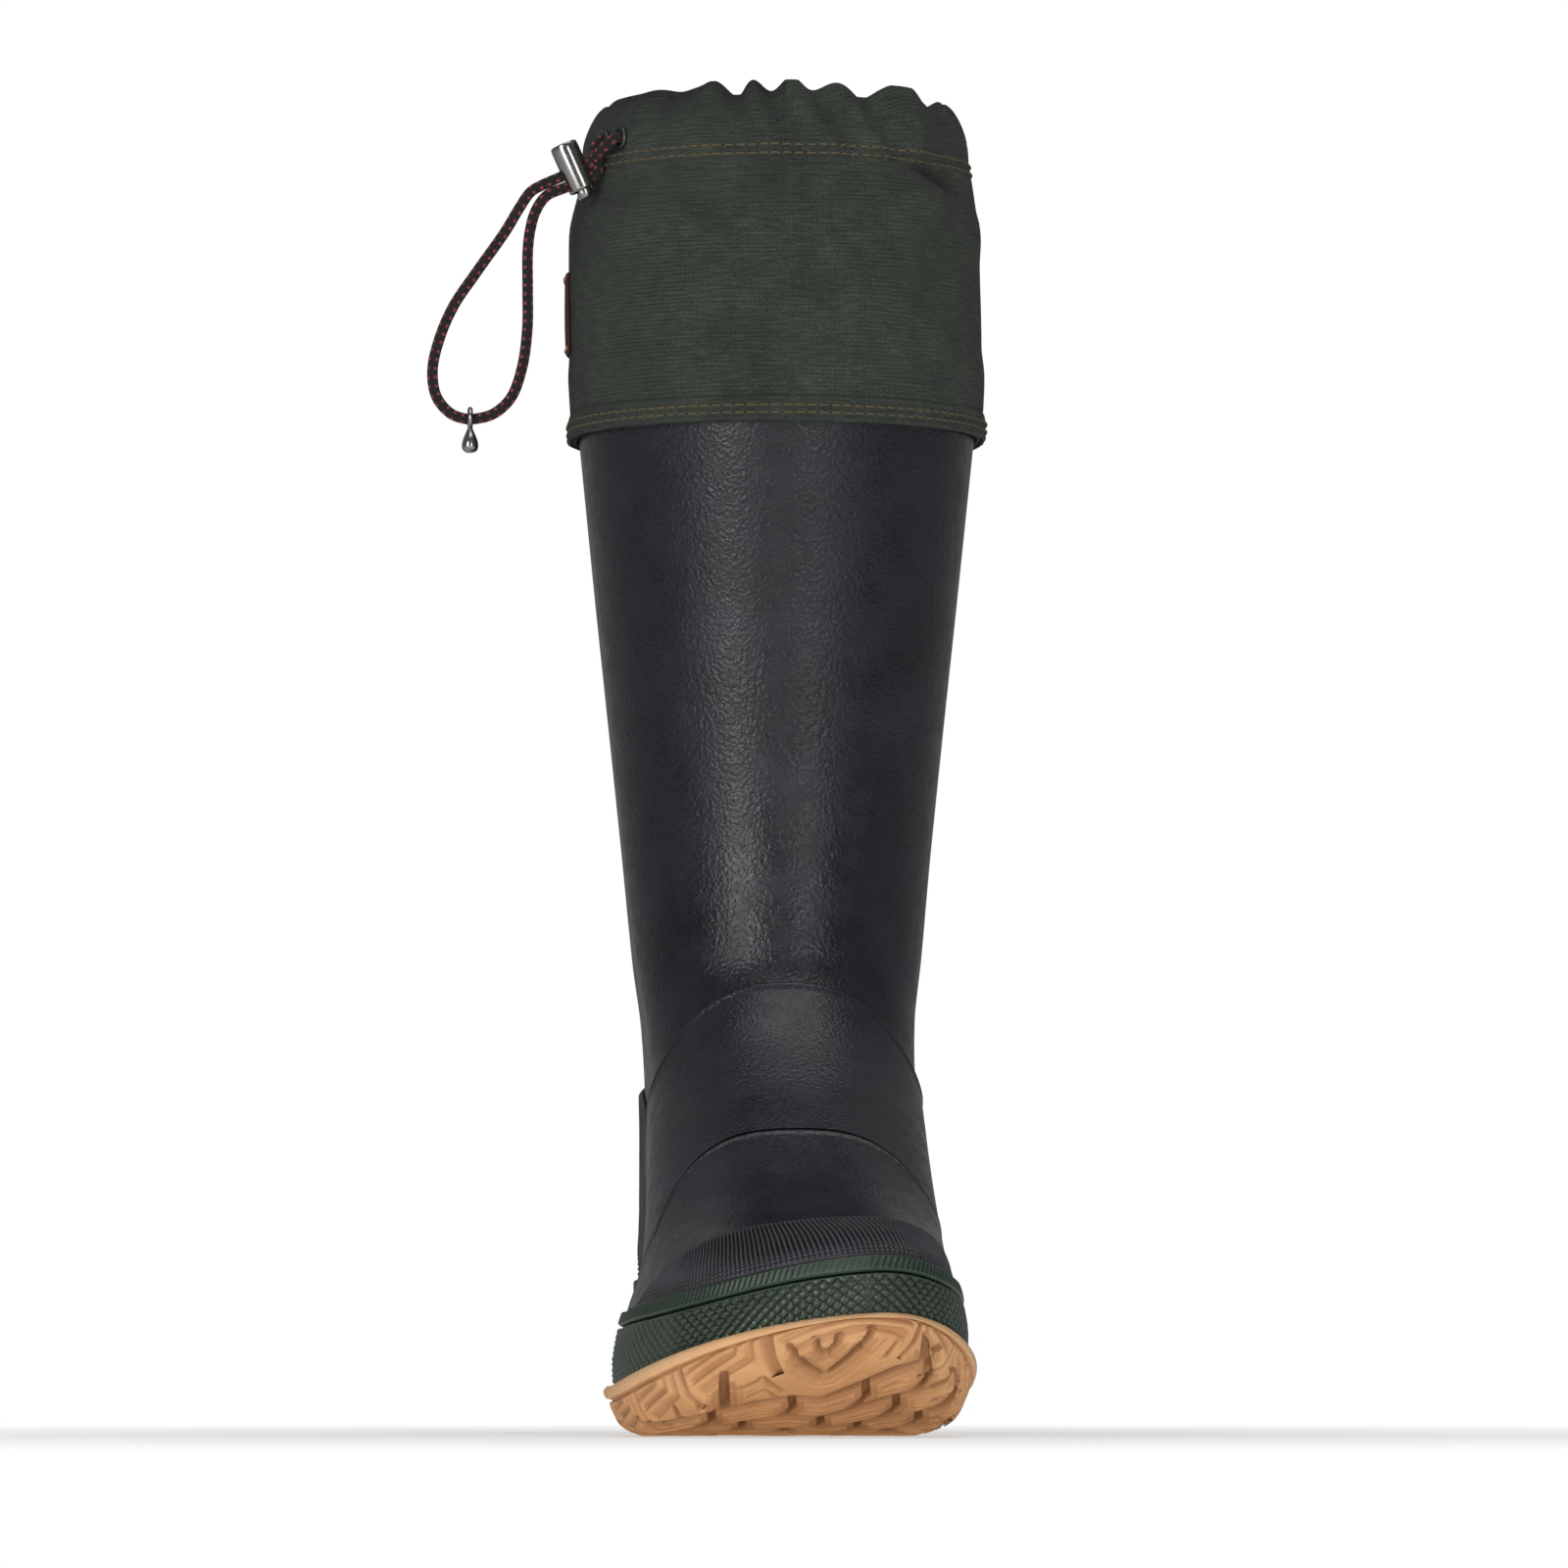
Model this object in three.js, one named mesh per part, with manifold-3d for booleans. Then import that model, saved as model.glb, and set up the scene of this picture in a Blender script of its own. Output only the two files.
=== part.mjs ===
// Tall insulated rubber hunting boot, right foot, with a drawcord canvas cuff.
// Millimetres, +Z up, toe towards -Y, inner (medial) side towards +X.
// The origin is under the middle of the boot, on the surface it stands on.
import * as THREE from 'three';
import Module from 'manifold-3d';

const wasm = await Module();
wasm.setup();

// ---- Driving dimensions ------------------------------------------------------------

const GAP = 0.3; // air between touching pieces
const CENTRE_SHIFT = 0.25; // puts the middle of the boot's length over the origin
const COLUMNS = 32; // points round each outline
const FRONT_STEPS = 6; // of the half outline's 16 steps, those on the toe arc
const SIDE_STEPS = 4; // those along the nearly straight side
const HALF = COLUMNS / 2;

const WALL = {
  rubber: 2.5, insulation: 5, lining: 1, canvas: 1.4, overlay: 1.2, cap: 1.6, foxing: 2.6, trim: 3.4,
};

// The toe rises off the ground, a little more on the inner side.
const TOE_SPRING = { start: -45, run: 109, slant: 0.22, tread: 29, upper: 26 };
const HEEL = { start: 10, run: 80, rise: 12, breast: 62 }; // the heel block's extra height
const WEB = 10; // top of the outsole's web under the ball of the foot
const LUG = { depth: 5, groove: 4.2 };
const GUM_LINE = { ball: 15.5, toeRise: 23, proud: 6 };
const FOXING = { height: 19, toeHeight: 12.5, toeStart: -60, toeRun: 85, trim: 3.6 };

// Outline of the rubber upper at each height: toe and heel ends, where the end arcs begin,
// the half widths outside (lateral), inside (medial) and at the heel, how square the end arcs
// are, and how much of the foot's own shape the outline has.
const level = (v, [front, wide, heel, back], [lateral, medial, rear], square, foot) => (
  { v, front, wide, heel, back, lateral, medial, rear, square, foot }
);
const UPPER = [
  level(10.4, [-141, -45, 100, 142], [48.5, 42.5, 35], 2.1, 1),
  level(15, [-147.3, -45, 100, 147], [54, 48, 39.5], 2.1, 1),
  level(22, [-150, -45, 100, 149], [54.3, 48.2, 41.5], 2.1, 1),
  level(31, [-147, -45, 100, 149], [53, 46.8, 42], 2.15, 0.95),
  level(39, [-138.5, -44, 100, 148.3], [50.5, 45, 42], 2.2, 0.86),
  level(47, [-124, -42, 100, 147.5], [47.8, 44, 42], 2.25, 0.75),
  level(55, [-107, -40, 99, 146.5], [46, 43.2, 41.7], 2.3, 0.63),
  level(65, [-86, -32, 99, 146], [44.8, 42.8, 41.5], 2.3, 0.46),
  level(79, [-61, -15, 98, 145], [43.5, 42.4, 41.5], 2.3, 0.24),
  level(94, [-38, 5, 98, 144], [42.6, 42, 41.5], 2.25, 0.09),
  level(112, [-13, 30, 99, 142.5], [42, 42, 41.8], 2.1, 0),
  level(131, [6, 49, 98, 141], [43, 43, 43], 2, 0),
  level(152, [17, 62, 95, 140.5], [46, 46, 46], 2, 0),
  level(190, [20.5, 70, 92.5, 142.5], [50, 50, 50], 2, 0),
  level(250, [16.5, 72, 89, 145], [56.3, 56.3, 56.3], 2, 0),
  level(325, [6.5, 70.5, 84, 148.2], [64.2, 64.2, 64.2], 2, 0),
];
// The foot's shape: the toe's tip lies to the inner side, the inner side is widest further
// forward, and both sides draw in under the arch by a share of their width.
const FOOT = { tip: 17, ball: 27, innerArch: 0.2, outerArch: 0.07 };

// The canvas cuff is a round tube, so one half width and one set-back describe each height.
const CUFF = { axis: 77.3, straight: 6.5, bottom: 321.5, casing: 412.3 };
const CUFF_OUTER = [
  { v: 321.5, w: 65.9 }, { v: 332, w: 66.9 }, { v: 342, w: 67.3 }, { v: 352, w: 66.4 },
  { v: 374, w: 66.4 }, { v: 389, w: 65.9 }, { v: 403, w: 63.6 }, { v: 412, w: 62 },
];
const CASING_SECTION = [
  { w: 62, z: 412.3 }, { w: 61.4, z: 418 }, { w: 59.2, z: 424 }, { w: 56.4, z: 428.6 },
  { w: 53.8, z: 430.5 }, { w: 51.8, z: 428.6 }, { w: 53, z: 422.5 }, { w: 54.8, z: 417 },
  { w: 55.6, z: 412.3 },
];
const HEM = { top: 329.5, thickness: 1.2 };
const PATCH = { bottom: 350, top: 376, firstColumn: 21, lastColumn: 26, thickness: 0.9 };

const CORD = { radius: 1.75, sides: 8, run: { w: 57.3, z: 419.2 }, tunnel: 2.3 };
const EYELET = { y: 42, spacing: 9, z: 415.5, seat: 61.65, bore: 2.1, rim: 3.9, thickness: 1.3 };

// The lock stands on the doubled cord. Its cord hole is the local origin; the cord leaves along
// CORD_OUT, and the plunger comes out along LOCK_DOWN.
const LOCK = { x: -66, y: 41, z: 403.6, radius: 4.5, up: 11.2, down: 4.9, bore: 3.15, strand: 1.85 };
const PLUNGER = { radius: 2.8, up: 5.2, down: 7.7, travel: 2.5 };
const SPRING = { outer: 2.6, inner: 1.7 };
const CORD_TILT = THREE.MathUtils.degToRad(24);
const CORD_OUT = new THREE.Vector3(-Math.cos(CORD_TILT), 0, -Math.sin(CORD_TILT));
const LOCK_DOWN = new THREE.Vector3(Math.sin(CORD_TILT), 0, -Math.cos(CORD_TILT));
const PULL = { x: -100.2, z: 325.1, eye: 3.05, wire: 0.85, radius: 2.75, bottom: 11 };

// Cuts that bound the overlays: each runs from its crest over the instep down and back, and
// bows further down away from the middle, by its bow at BOW.reach from it.
const BOW = { reach: 33, most: 43, power: 3.6 };
const SEAMS = {
  toe: { y: -103, z: 64.5, slope: 0.7, bow: 0 },
  vamp: { y: -38, z: 95, slope: 1.1, bow: 19 },
  ankle: { y: 14, z: 143, slope: 1.08, bow: 12 },
  counter: { y: 72, z: 104, slope: -0.22, bow: 0 },
};
// Columns the toe cap and the layers above it reach on the outer and inner side.
const TOE_REACH = [6, 6];
const SIDE_REACH = [8, 8];
const VAMP_REACH = [7, 7];

const COLOURS = {
  gum: [0xb8834f, 0.75, 0], green: [0x2e3d33, 0.55, 0], rubber: [0x26262b, 0.5, 0],
  knurl: [0x36353a, 0.7, 0], canvas: [0x3f433b, 0.95, 0], hem: [0x33372f, 0.95, 0],
  foam: [0x8a8f92, 0.9, 0], steel: [0x9a9a9c, 0.35, 1], board: [0xa58f6c, 0.9, 0],
  neoprene: [0x2d3230, 0.95, 0], jersey: [0x5a5f57, 1, 0], felt: [0x4b4f4a, 1, 0],
  patch: [0x5d2a2c, 0.8, 0], cord: [0x1d1718, 0.9, 0], nickel: [0x8b8988, 0.3, 1],
};

// ---- Small helpers -------------------------------------------------------------------

const clamp01 = (t) => THREE.MathUtils.clamp(t, 0, 1);
const smooth = (t) => THREE.MathUtils.smoothstep(t, 0, 1);
const lerp = THREE.MathUtils.lerp;
const wrap = (column) => ((column % COLUMNS) + COLUMNS) % COLUMNS;

function piece(name, geometry, colour) {
  const [color, roughness, metalness] = COLOURS[colour];
  const mesh = new THREE.Mesh(geometry, new THREE.MeshStandardMaterial({ color, roughness, metalness }));
  mesh.name = name;
  return mesh;
}

// Collects triangles, shares equal corners and leaves out those with no area.
class Skin {
  constructor() {
    this.corners = [];
    this.keys = new Map();
    this.triangles = [];
  }

  corner(p) {
    const key = [p.x, p.y, p.z].map((value) => Math.round(value * 1000)).join();
    if (!this.keys.has(key)) {
      this.keys.set(key, this.corners.length / 3);
      this.corners.push(p.x, p.y, p.z);
    }
    return this.keys.get(key);
  }

  triangle(a, b, c) {
    const [i, j, k] = [this.corner(a), this.corner(b), this.corner(c)];
    if (i !== j && j !== k && k !== i) this.triangles.push(i, j, k);
  }

  // Split along the shorter diagonal, so that parallel surfaces fold the same way.
  quad(a, b, c, d) {
    if (a.distanceToSquared(c) <= b.distanceToSquared(d)) {
      this.triangle(a, b, c);
      this.triangle(a, c, d);
    } else {
      this.triangle(b, c, d);
      this.triangle(b, d, a);
    }
  }

  geometry() {
    const geometry = new THREE.BufferGeometry();
    geometry.setAttribute('position', new THREE.Float32BufferAttribute(this.corners, 3));
    geometry.setIndex(this.triangles);
    return geometry;
  }
}

// Skins closed outlines one above the other. A loop joins the last to the first, so a wall
// closes on itself; otherwise both ends are capped by strips across the outline.
function loft(outlines, loop = false) {
  const skin = new Skin();
  const last = loop ? outlines.length : outlines.length - 1;
  for (let r = 0; r < last; r += 1) {
    const low = outlines[r];
    const high = outlines[(r + 1) % outlines.length];
    const count = low.length;
    for (let c = 0; c < count; c += 1) {
      skin.quad(low[c], low[(c + 1) % count], high[(c + 1) % count], high[c]);
    }
  }
  if (!loop) {
    cap(skin, outlines[0], false);
    cap(skin, outlines[outlines.length - 1], true);
  }
  return skin.geometry();
}

function cap(skin, outline, up) {
  const count = outline.length;
  for (let c = 0; c < count / 2; c += 1) {
    const strip = [outline[c], outline[c + 1], outline[count - c - 1], outline[(count - c) % count]];
    if (!up) strip.reverse();
    skin.quad(...strip);
  }
}

// A slab over part of a surface: outer and inner are grids of rows of points.
function slab(outer, inner) {
  const skin = new Skin();
  const rows = outer.length;
  const columns = outer[0].length;
  for (let r = 0; r + 1 < rows; r += 1) {
    for (let c = 0; c + 1 < columns; c += 1) {
      skin.quad(outer[r][c], outer[r][c + 1], outer[r + 1][c + 1], outer[r + 1][c]);
      skin.quad(inner[r + 1][c], inner[r + 1][c + 1], inner[r][c + 1], inner[r][c]);
    }
    skin.quad(inner[r][0], outer[r][0], outer[r + 1][0], inner[r + 1][0]);
    const e = columns - 1;
    skin.quad(outer[r][e], inner[r][e], inner[r + 1][e], outer[r + 1][e]);
  }
  for (let c = 0; c + 1 < columns; c += 1) {
    const t = rows - 1;
    skin.quad(inner[0][c], inner[0][c + 1], outer[0][c + 1], outer[0][c]);
    skin.quad(outer[t][c], outer[t][c + 1], inner[t][c + 1], inner[t][c]);
  }
  return skin.geometry();
}

function toSolid(geometry) {
  const skin = new Skin();
  const position = geometry.getAttribute('position');
  const index = geometry.index ? geometry.index.array : [...Array(position.count).keys()];
  const at = (i) => new THREE.Vector3().fromBufferAttribute(position, index[i]);
  for (let i = 0; i < index.length; i += 3) skin.triangle(at(i), at(i + 1), at(i + 2));
  return new wasm.Manifold(
    new wasm.Mesh({
      numProp: 3,
      vertProperties: new Float32Array(skin.corners),
      triVerts: new Uint32Array(skin.triangles),
    }),
  );
}

function toGeometry(solid) {
  const mesh = solid.getMesh();
  const geometry = new THREE.BufferGeometry();
  geometry.setAttribute('position', new THREE.BufferAttribute(mesh.vertProperties, 3));
  geometry.setIndex(new THREE.BufferAttribute(mesh.triVerts, 1));
  return geometry;
}

const cut = (geometry, cutters) =>
  toGeometry(cutters.reduce((solid, cutter) => solid.subtract(toSolid(cutter)), toSolid(geometry)));

// ---- The boot's surfaces --------------------------------------------------------------

// Heights along the sole depend on the place in plan.
const toeShare = ({ x, y }) => clamp01((TOE_SPRING.start - y + TOE_SPRING.slant * x) / TOE_SPRING.run);
const heelRise = ({ y }) => HEEL.rise * smooth((y - HEEL.start) / HEEL.run);
const treadHeight = (place) => TOE_SPRING.tread * toeShare(place) ** 2;
const lift = (place) => TOE_SPRING.upper * toeShare(place) ** 1.6 + heelRise(place);
const webHeight = (place) => WEB + lift(place);
const gumHeight = (place) => GUM_LINE.ball + GUM_LINE.toeRise * toeShare(place) ** 1.5 + heelRise(place);
const foxingShare = ({ y }) => smooth((FOXING.toeStart - y) / FOXING.toeRun);
const foxingHeight = (place) => gumHeight(place) + lerp(FOXING.height, FOXING.toeHeight, foxingShare(place));

// Values of a table of levels at height v.
function atLevel(levels, v) {
  const last = levels.length - 1;
  let i = 0;
  while (i < last - 1 && levels[i + 1].v < v) i += 1;
  const t = clamp01((v - levels[i].v) / (levels[i + 1].v - levels[i].v));
  const mixed = {};
  for (const key of Object.keys(levels[i])) mixed[key] = lerp(levels[i][key], levels[i + 1][key], t);
  return mixed;
}

// Plan position of a column on an outline: toe arc, side, heel arc.
function planPoint(column, shape) {
  const side = wrap(column) <= HALF ? 1 : -1;
  const step = side > 0 ? wrap(column) : COLUMNS - wrap(column);
  const power = 2 / shape.square;
  const width = side > 0 ? shape.medial : shape.lateral;
  const wide = shape.wide - (side > 0 ? FOOT.ball * shape.foot : 0);
  const tip = FOOT.tip * shape.foot;
  if (step < FRONT_STEPS) {
    const angle = (step / FRONT_STEPS) * (Math.PI / 2);
    const y = wide - (wide - shape.front) * Math.cos(angle) ** power;
    return { x: lerp(tip, side * width, Math.sin(angle) ** power), y };
  }
  let y = lerp(wide, shape.heel, (step - FRONT_STEPS) / SIDE_STEPS);
  let spread = 1;
  if (step > FRONT_STEPS + SIDE_STEPS) {
    const backSteps = HALF - FRONT_STEPS - SIDE_STEPS;
    const angle = ((step - FRONT_STEPS - SIDE_STEPS) / backSteps) * (Math.PI / 2);
    y = shape.heel + (shape.back - shape.heel) * Math.sin(angle) ** power;
    spread = Math.max(Math.cos(angle), 0) ** power;
  }
  const along = clamp01((y - wide) / (shape.heel - wide));
  const arch = shape.foot * (side > 0 ? FOOT.innerArch : FOOT.outerArch);
  const waist = 1 - arch * Math.sin(Math.PI * along) ** 2;
  return { x: side * spread * waist * lerp(width, shape.rear, smooth(along)), y };
}

function upperBase(column, v) {
  const plan = planPoint(column, atLevel(UPPER, v));
  const low = 1 - smooth((v - 40) / 75);
  return new THREE.Vector3(plan.x, plan.y, v + lift(plan) * low);
}

function cuffBase(column, v) {
  const { w } = atLevel(CUFF_OUTER, v);
  return new THREE.Vector3(...ringPoint(column, w), v);
}

// Plan point of the cuff's round outline with half width w.
function ringPoint(column, w) {
  const { axis, straight } = CUFF;
  const [wide, heel] = [axis - straight, axis + straight];
  const width = { lateral: w, medial: w, rear: w, square: 2, foot: 0 };
  const { x, y } = planPoint(column, { front: wide - w, wide, heel, back: heel + w, ...width });
  return [x, y];
}

// A surface gives points at an offset along its outward normal, and finds where a column
// first reaches a target height.
function makeSurface(base, levels) {
  const low = levels[0].v;
  const high = levels[levels.length - 1].v;
  const point = (column, v, offset = 0) => {
    const around = base(column + 1, v).sub(base(column - 1, v));
    const up = base(column, Math.min(v + 3, high)).sub(base(column, Math.max(v - 3, low)));
    const normal = around.cross(up).normalize();
    return base(column, v).addScaledVector(normal, offset);
  };
  const find = (column, reach) => {
    let a = low;
    let b = high;
    for (let i = 0; i < 40; i += 1) {
      const middle = (a + b) / 2;
      if (reach(base(column, middle)) < 0) a = middle;
      else b = middle;
    }
    return b;
  };
  const outline = (v, offset = 0) => allColumns().map((column) => point(column, v, offset));
  return { levels: levels.map((level) => level.v), point, find, outline };
}

const allColumns = () => [...Array(COLUMNS).keys()];
const upper = makeSurface(upperBase, UPPER);
const cuff = makeSurface(cuffBase, CUFF_OUTER);
const topOf = (surface) => surface.levels[surface.levels.length - 1];

// Height on a column where it passes a height line, or one of the seam planes.
const atHeight = (surface, column, line) => surface.find(column, (p) => p.z - line(p));
function atSeam(column, { y, z, slope, bow }) {
  const drop = (p) => slope * (p.y - y) + bow * (Math.min(Math.abs(p.x), BOW.most) / BOW.reach) ** BOW.power;
  return upper.find(column, (p) => p.z - z + drop(p));
}

// Heights of the rows of a band: its two edges and every level between them.
function rowHeights(surface, low, high) {
  const between = surface.levels.filter((v) => v > Math.min(...low) && v < Math.max(...high));
  const rows = [low, ...between.map((v) => low.map((a, c) => THREE.MathUtils.clamp(v, a, high[c]))), high];
  return rows;
}

// A band right round a surface, between two edge lines.
function band(surface, lowLine, highLine, offset, thickness) {
  const low = allColumns().map((column) => lowLine(column));
  const high = allColumns().map((column) => highLine(column));
  const rows = rowHeights(surface, low, high);
  const ring = (row, depth) => row.map((v, column) => surface.point(column, v, depth));
  const outer = rows.map((row) => ring(row, offset + thickness));
  const inner = rows.map((row) => ring(row, offset)).reverse();
  return loft([...outer, ...inner], true);
}

// A patch over some columns of a surface, between two edge lines.
function patch(surface, columns, lowLine, highLine, offset, thickness) {
  const low = columns.map((column) => lowLine(column));
  const high = columns.map((column, i) => Math.max(highLine(column), low[i] + 0.4));
  const rows = rowHeights(surface, low, high);
  const grid = (depth) => rows.map((row) => row.map((v, i) => surface.point(columns[i], v, depth)));
  return slab(grid(offset + thickness), grid(offset));
}

const columnsFrom = (first, last) => [...Array(last - first + 1).keys()].map((i) => first + i);

// ---- Sole ----------------------------------------------------------------------------

// An outline of the sole in plan, at heights that follow a line along the foot.
function soleOutline(v, offset, line) {
  return upper.outline(v, offset).map((p) => new THREE.Vector3(p.x, p.y, line(p)));
}

// An upright prism over a plan outline whose top and bottom follow the tread.
function treadPrism(points, below, above) {
  const shape = new THREE.Shape(points.map(([x, y]) => new THREE.Vector2(x, y)));
  const geometry = new THREE.ExtrudeGeometry(shape, { depth: 1, bevelEnabled: false });
  const position = geometry.getAttribute('position');
  for (let i = 0; i < position.count; i += 1) {
    const base = treadHeight({ x: position.getX(i), y: position.getY(i) });
    position.setZ(i, base + (position.getZ(i) > 0.5 ? above : below));
  }
  return geometry;
}

// A groove of the tread along a bent line, given by its middle line from side to side.
function groove(line, width = LUG.groove, depth = LUG.depth) {
  const front = line.map(([x, y]) => [x, y - width / 2]);
  const back = line.map(([x, y]) => [x, y + width / 2]).reverse();
  return treadPrism([...front, ...back], -4, depth);
}

// Grooves that run along the foot, given by their middle line from toe to heel.
function channel(line, width, depth = LUG.depth) {
  const right = line.map(([x, y]) => [x + width / 2, y]);
  const left = line.map(([x, y]) => [x - width / 2, y]).reverse();
  return treadPrism([...right, ...left], -4.2, depth - 0.2);
}

// Wavy channels across the foot, further forward on the inner side, and plainer ones across
// the heel block.
const WAVE = [
  [-75, -50], [-48, -62], [-36, -76], [-24, -84], [-15, -90], [-5, -92], [4, -88], [16, -99], [26, -108],
  [37, -112], [48, -122], [75, -146],
];
const WAVE_SHIFTS = [-20, 2, 24, 46, 68];
const HEEL_WAVE = [[-60, 4], [-20, -3], [0, 3], [20, -3], [60, 4]];
const HEEL_WAVE_PLACES = [80, 97, 114, 131];

function crossGrooves() {
  const shifted = (line, shift) => line.map(([x, y]) => [x, y + shift]);
  return [
    ...WAVE_SHIFTS.map((shift) => groove(shifted(WAVE, shift))),
    ...HEEL_WAVE_PLACES.map((shift) => groove(shifted(HEEL_WAVE, shift))),
  ];
}

// The toe: a V lug in the middle, a rib round it, a chevron lug on each side.
function toeGrooves() {
  return [
    groove([[-9, -162], [3.5, -142], [15, -162]], 3),
    groove([[-19, -162], [4, -128], [24, -162]], 3.4),
    channel([[-27, -140], [-25, -106]], 3.4),
    channel([[34, -150], [34, -130]], 3.4),
    groove([[-24, -122], [-14.5, -133], [-8, -121]], 1.8, 2.6),
    groove([[21, -139], [25, -146], [34, -145]], 1.8, 2.6),
  ];
}

// Breaks between the lugs of each row, set off by half a lug from row to row.
function lugBreaks() {
  const waveAt = (x) => {
    const i = WAVE.findIndex(([right]) => right > x);
    const [[x0, y0], [x1, y1]] = [WAVE[i - 1], WAVE[i]];
    return lerp(y0, y1, (x - x0) / (x1 - x0));
  };
  const breaks = [];
  WAVE_SHIFTS.slice(0, -1).forEach((shift, row) => {
    const aside = row % 2 === 0 ? 0 : 10;
    for (const x of [-30 + aside, -6 + aside, 16 + aside, 34 + aside]) {
      const y = waveAt(x) + shift + 11;
      breaks.push(channel([[x + 1, y - 10], [x + 2, y], [x - 1, y + 10]], 2.8));
    }
  });
  return breaks;
}

// The arch stands clear of the ground between the ball and the heel block.
function archCut() {
  const profile = [[-6, -1], [2, 5.5], [HEEL.breast - 6, 7.5], [HEEL.breast, -1]];
  const shape = new THREE.Shape(profile.map(([y, z]) => new THREE.Vector2(y, z)));
  const geometry = new THREE.ExtrudeGeometry(shape, { depth: 160, bevelEnabled: false });
  // Extruded along Z over (y, z): turned so that the extrusion runs along X.
  geometry.applyMatrix4(new THREE.Matrix4().set(0, 0, 1, -80, 1, 0, 0, 0, 0, 1, 0, 0, 0, 0, 0, 1));
  return geometry;
}

function outsole() {
  const between = (share) => (place) => lerp(treadHeight(place), gumHeight(place), share);
  const rim = allColumns().map((column) => atHeight(upper, column, gumHeight));
  const wallRows = rowHeights(upper, allColumns().map(() => upper.levels[0]), rim);
  const inner = wallRows.map((row) => row.map((v, column) => upper.point(column, v, GAP))).reverse();
  const floor = soleOutline(upper.levels[0], GAP, webHeight);
  const cup = loft([
    soleOutline(18, -6.5, treadHeight),
    soleOutline(18, 0.5, between(0.22)),
    soleOutline(18, 3.4, between(0.55)),
    rim.map((v, column) => upper.point(column, v, GUM_LINE.proud)),
    ...inner.slice(0, -1),
    floor,
  ]);
  return piece('outsole', cut(cup, [...crossGrooves(), ...toeGrooves(), ...lugBreaks(), archCut()]), 'gum');
}

// A flat piece inside the upper, between two heights above the outsole's web.
function insert(v, inset, bottom, top) {
  const line = (height) => (place) => webHeight(place) + height;
  return loft([soleOutline(v, -inset, line(bottom)), soleOutline(v, -inset, line(top))]);
}

// Heights above the web, from the outsole up.
const STACK = { midsole: [0.3, 4.2], board: [4.5, 6], bootie: 6.5 };
const FLOOR_SHARE = 0.75; // a sock's floor is pressed thinner than its walls
const FOOTBED = { thickness: 4, inset: 2.2 };
const SHANK = { halfWidth: 8, thickness: 1.4, sunk: 1 };

function soleStack() {
  const inset = WALL.rubber + 2 * GAP;
  const pocket = shankPlate(0.5);
  return [
    piece('midsole', cut(insert(upper.levels[0], inset, ...STACK.midsole), [pocket]), 'foam'),
    piece('shank', shankPlate(0), 'steel'),
    piece('insole_board', insert(upper.levels[0], inset, ...STACK.board), 'board'),
  ];
}

// Steel shank: a strip along the arch, let into the top of the midsole.
function shankPlate(clearance) {
  const columns = columnsFrom(COLUMNS - FRONT_STEPS - SIDE_STEPS, COLUMNS - FRONT_STEPS - 1).reverse();
  const stations = columns.map((column) => upper.point(column, upper.levels[0]).y);
  const last = stations.length - 1;
  const outline = (height) => {
    const right = stations.map((y, i) => {
      const end = i === 0 ? -clearance : i === last ? clearance : 0;
      return new THREE.Vector3(SHANK.halfWidth + clearance, y + end, webHeight({ x: 0, y }) + height);
    });
    const left = right.map((p) => new THREE.Vector3(-p.x, p.y, p.z)).reverse();
    return [...right, ...left];
  };
  const top = STACK.midsole[1] - SHANK.sunk;
  const bottom = top - SHANK.thickness - clearance;
  return ladder([outline(bottom), outline(clearance > 0 ? STACK.midsole[1] + 1 : top)]);
}

// Loft of outlines that run up one side and back down the other.
function ladder(outlines) {
  const skin = new Skin();
  const [low, high] = outlines;
  const count = low.length;
  for (let c = 0; c < count; c += 1) {
    const next = (c + 1) % count;
    skin.quad(low[c], low[next], high[next], high[c]);
  }
  for (let c = 0; c + 1 < count / 2; c += 1) {
    const d = count - 1 - c;
    skin.quad(high[c], high[c + 1], high[d - 1], high[d]);
    skin.quad(low[d], low[d - 1], low[c + 1], low[c]);
  }
  return skin.geometry();
}

// ---- Upper ---------------------------------------------------------------------------

function rubberUpper() {
  const low = () => upper.levels[0] + GAP;
  return piece('rubber_upper', band(upper, low, () => topOf(upper), -WALL.rubber, WALL.rubber), 'rubber');
}

// A sock: a wall round the foot and leg with a closed bottom.
function sock(name, outerOffset, thickness, bottom, top, colour) {
  const levels = upper.levels.filter((v) => v > WEB + bottom + 5 && v < top);
  const rings = (offset, floor) => [
    soleOutline(WEB + floor - 1, offset - 1, (place) => webHeight(place) + floor),
    ...[...levels, top].map((v) => upper.outline(v, offset)),
  ];
  const outer = rings(outerOffset, bottom);
  const inner = rings(outerOffset - thickness, bottom + thickness * FLOOR_SHARE).reverse();
  return piece(name, loft([...outer, ...inner]), colour);
}

function innerLayers() {
  const bootie = -WALL.rubber - GAP;
  const lining = bootie - WALL.insulation - GAP;
  const liningFloor = STACK.bootie + WALL.insulation * FLOOR_SHARE + GAP;
  const footFloor = liningFloor + WALL.lining * FLOOR_SHARE + GAP;
  const inset = WALL.lining + FOOTBED.inset - lining;
  const footbed = insert(WEB + footFloor - 1, inset, footFloor, footFloor + FOOTBED.thickness);
  return [
    sock('insulation_bootie', bootie, WALL.insulation, STACK.bootie, 322, 'neoprene'),
    sock('jersey_lining', lining, WALL.lining, liningFloor, 321, 'jersey'),
    piece('footbed', footbed, 'felt'),
  ];
}

// ---- Pieces bonded to the outside of the upper -----------------------------------------

const trimTop = (place) => foxingHeight(place) + FOXING.trim;
const aboveTrim = (column) => atHeight(upper, column, (place) => trimTop(place) + GAP);

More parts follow.
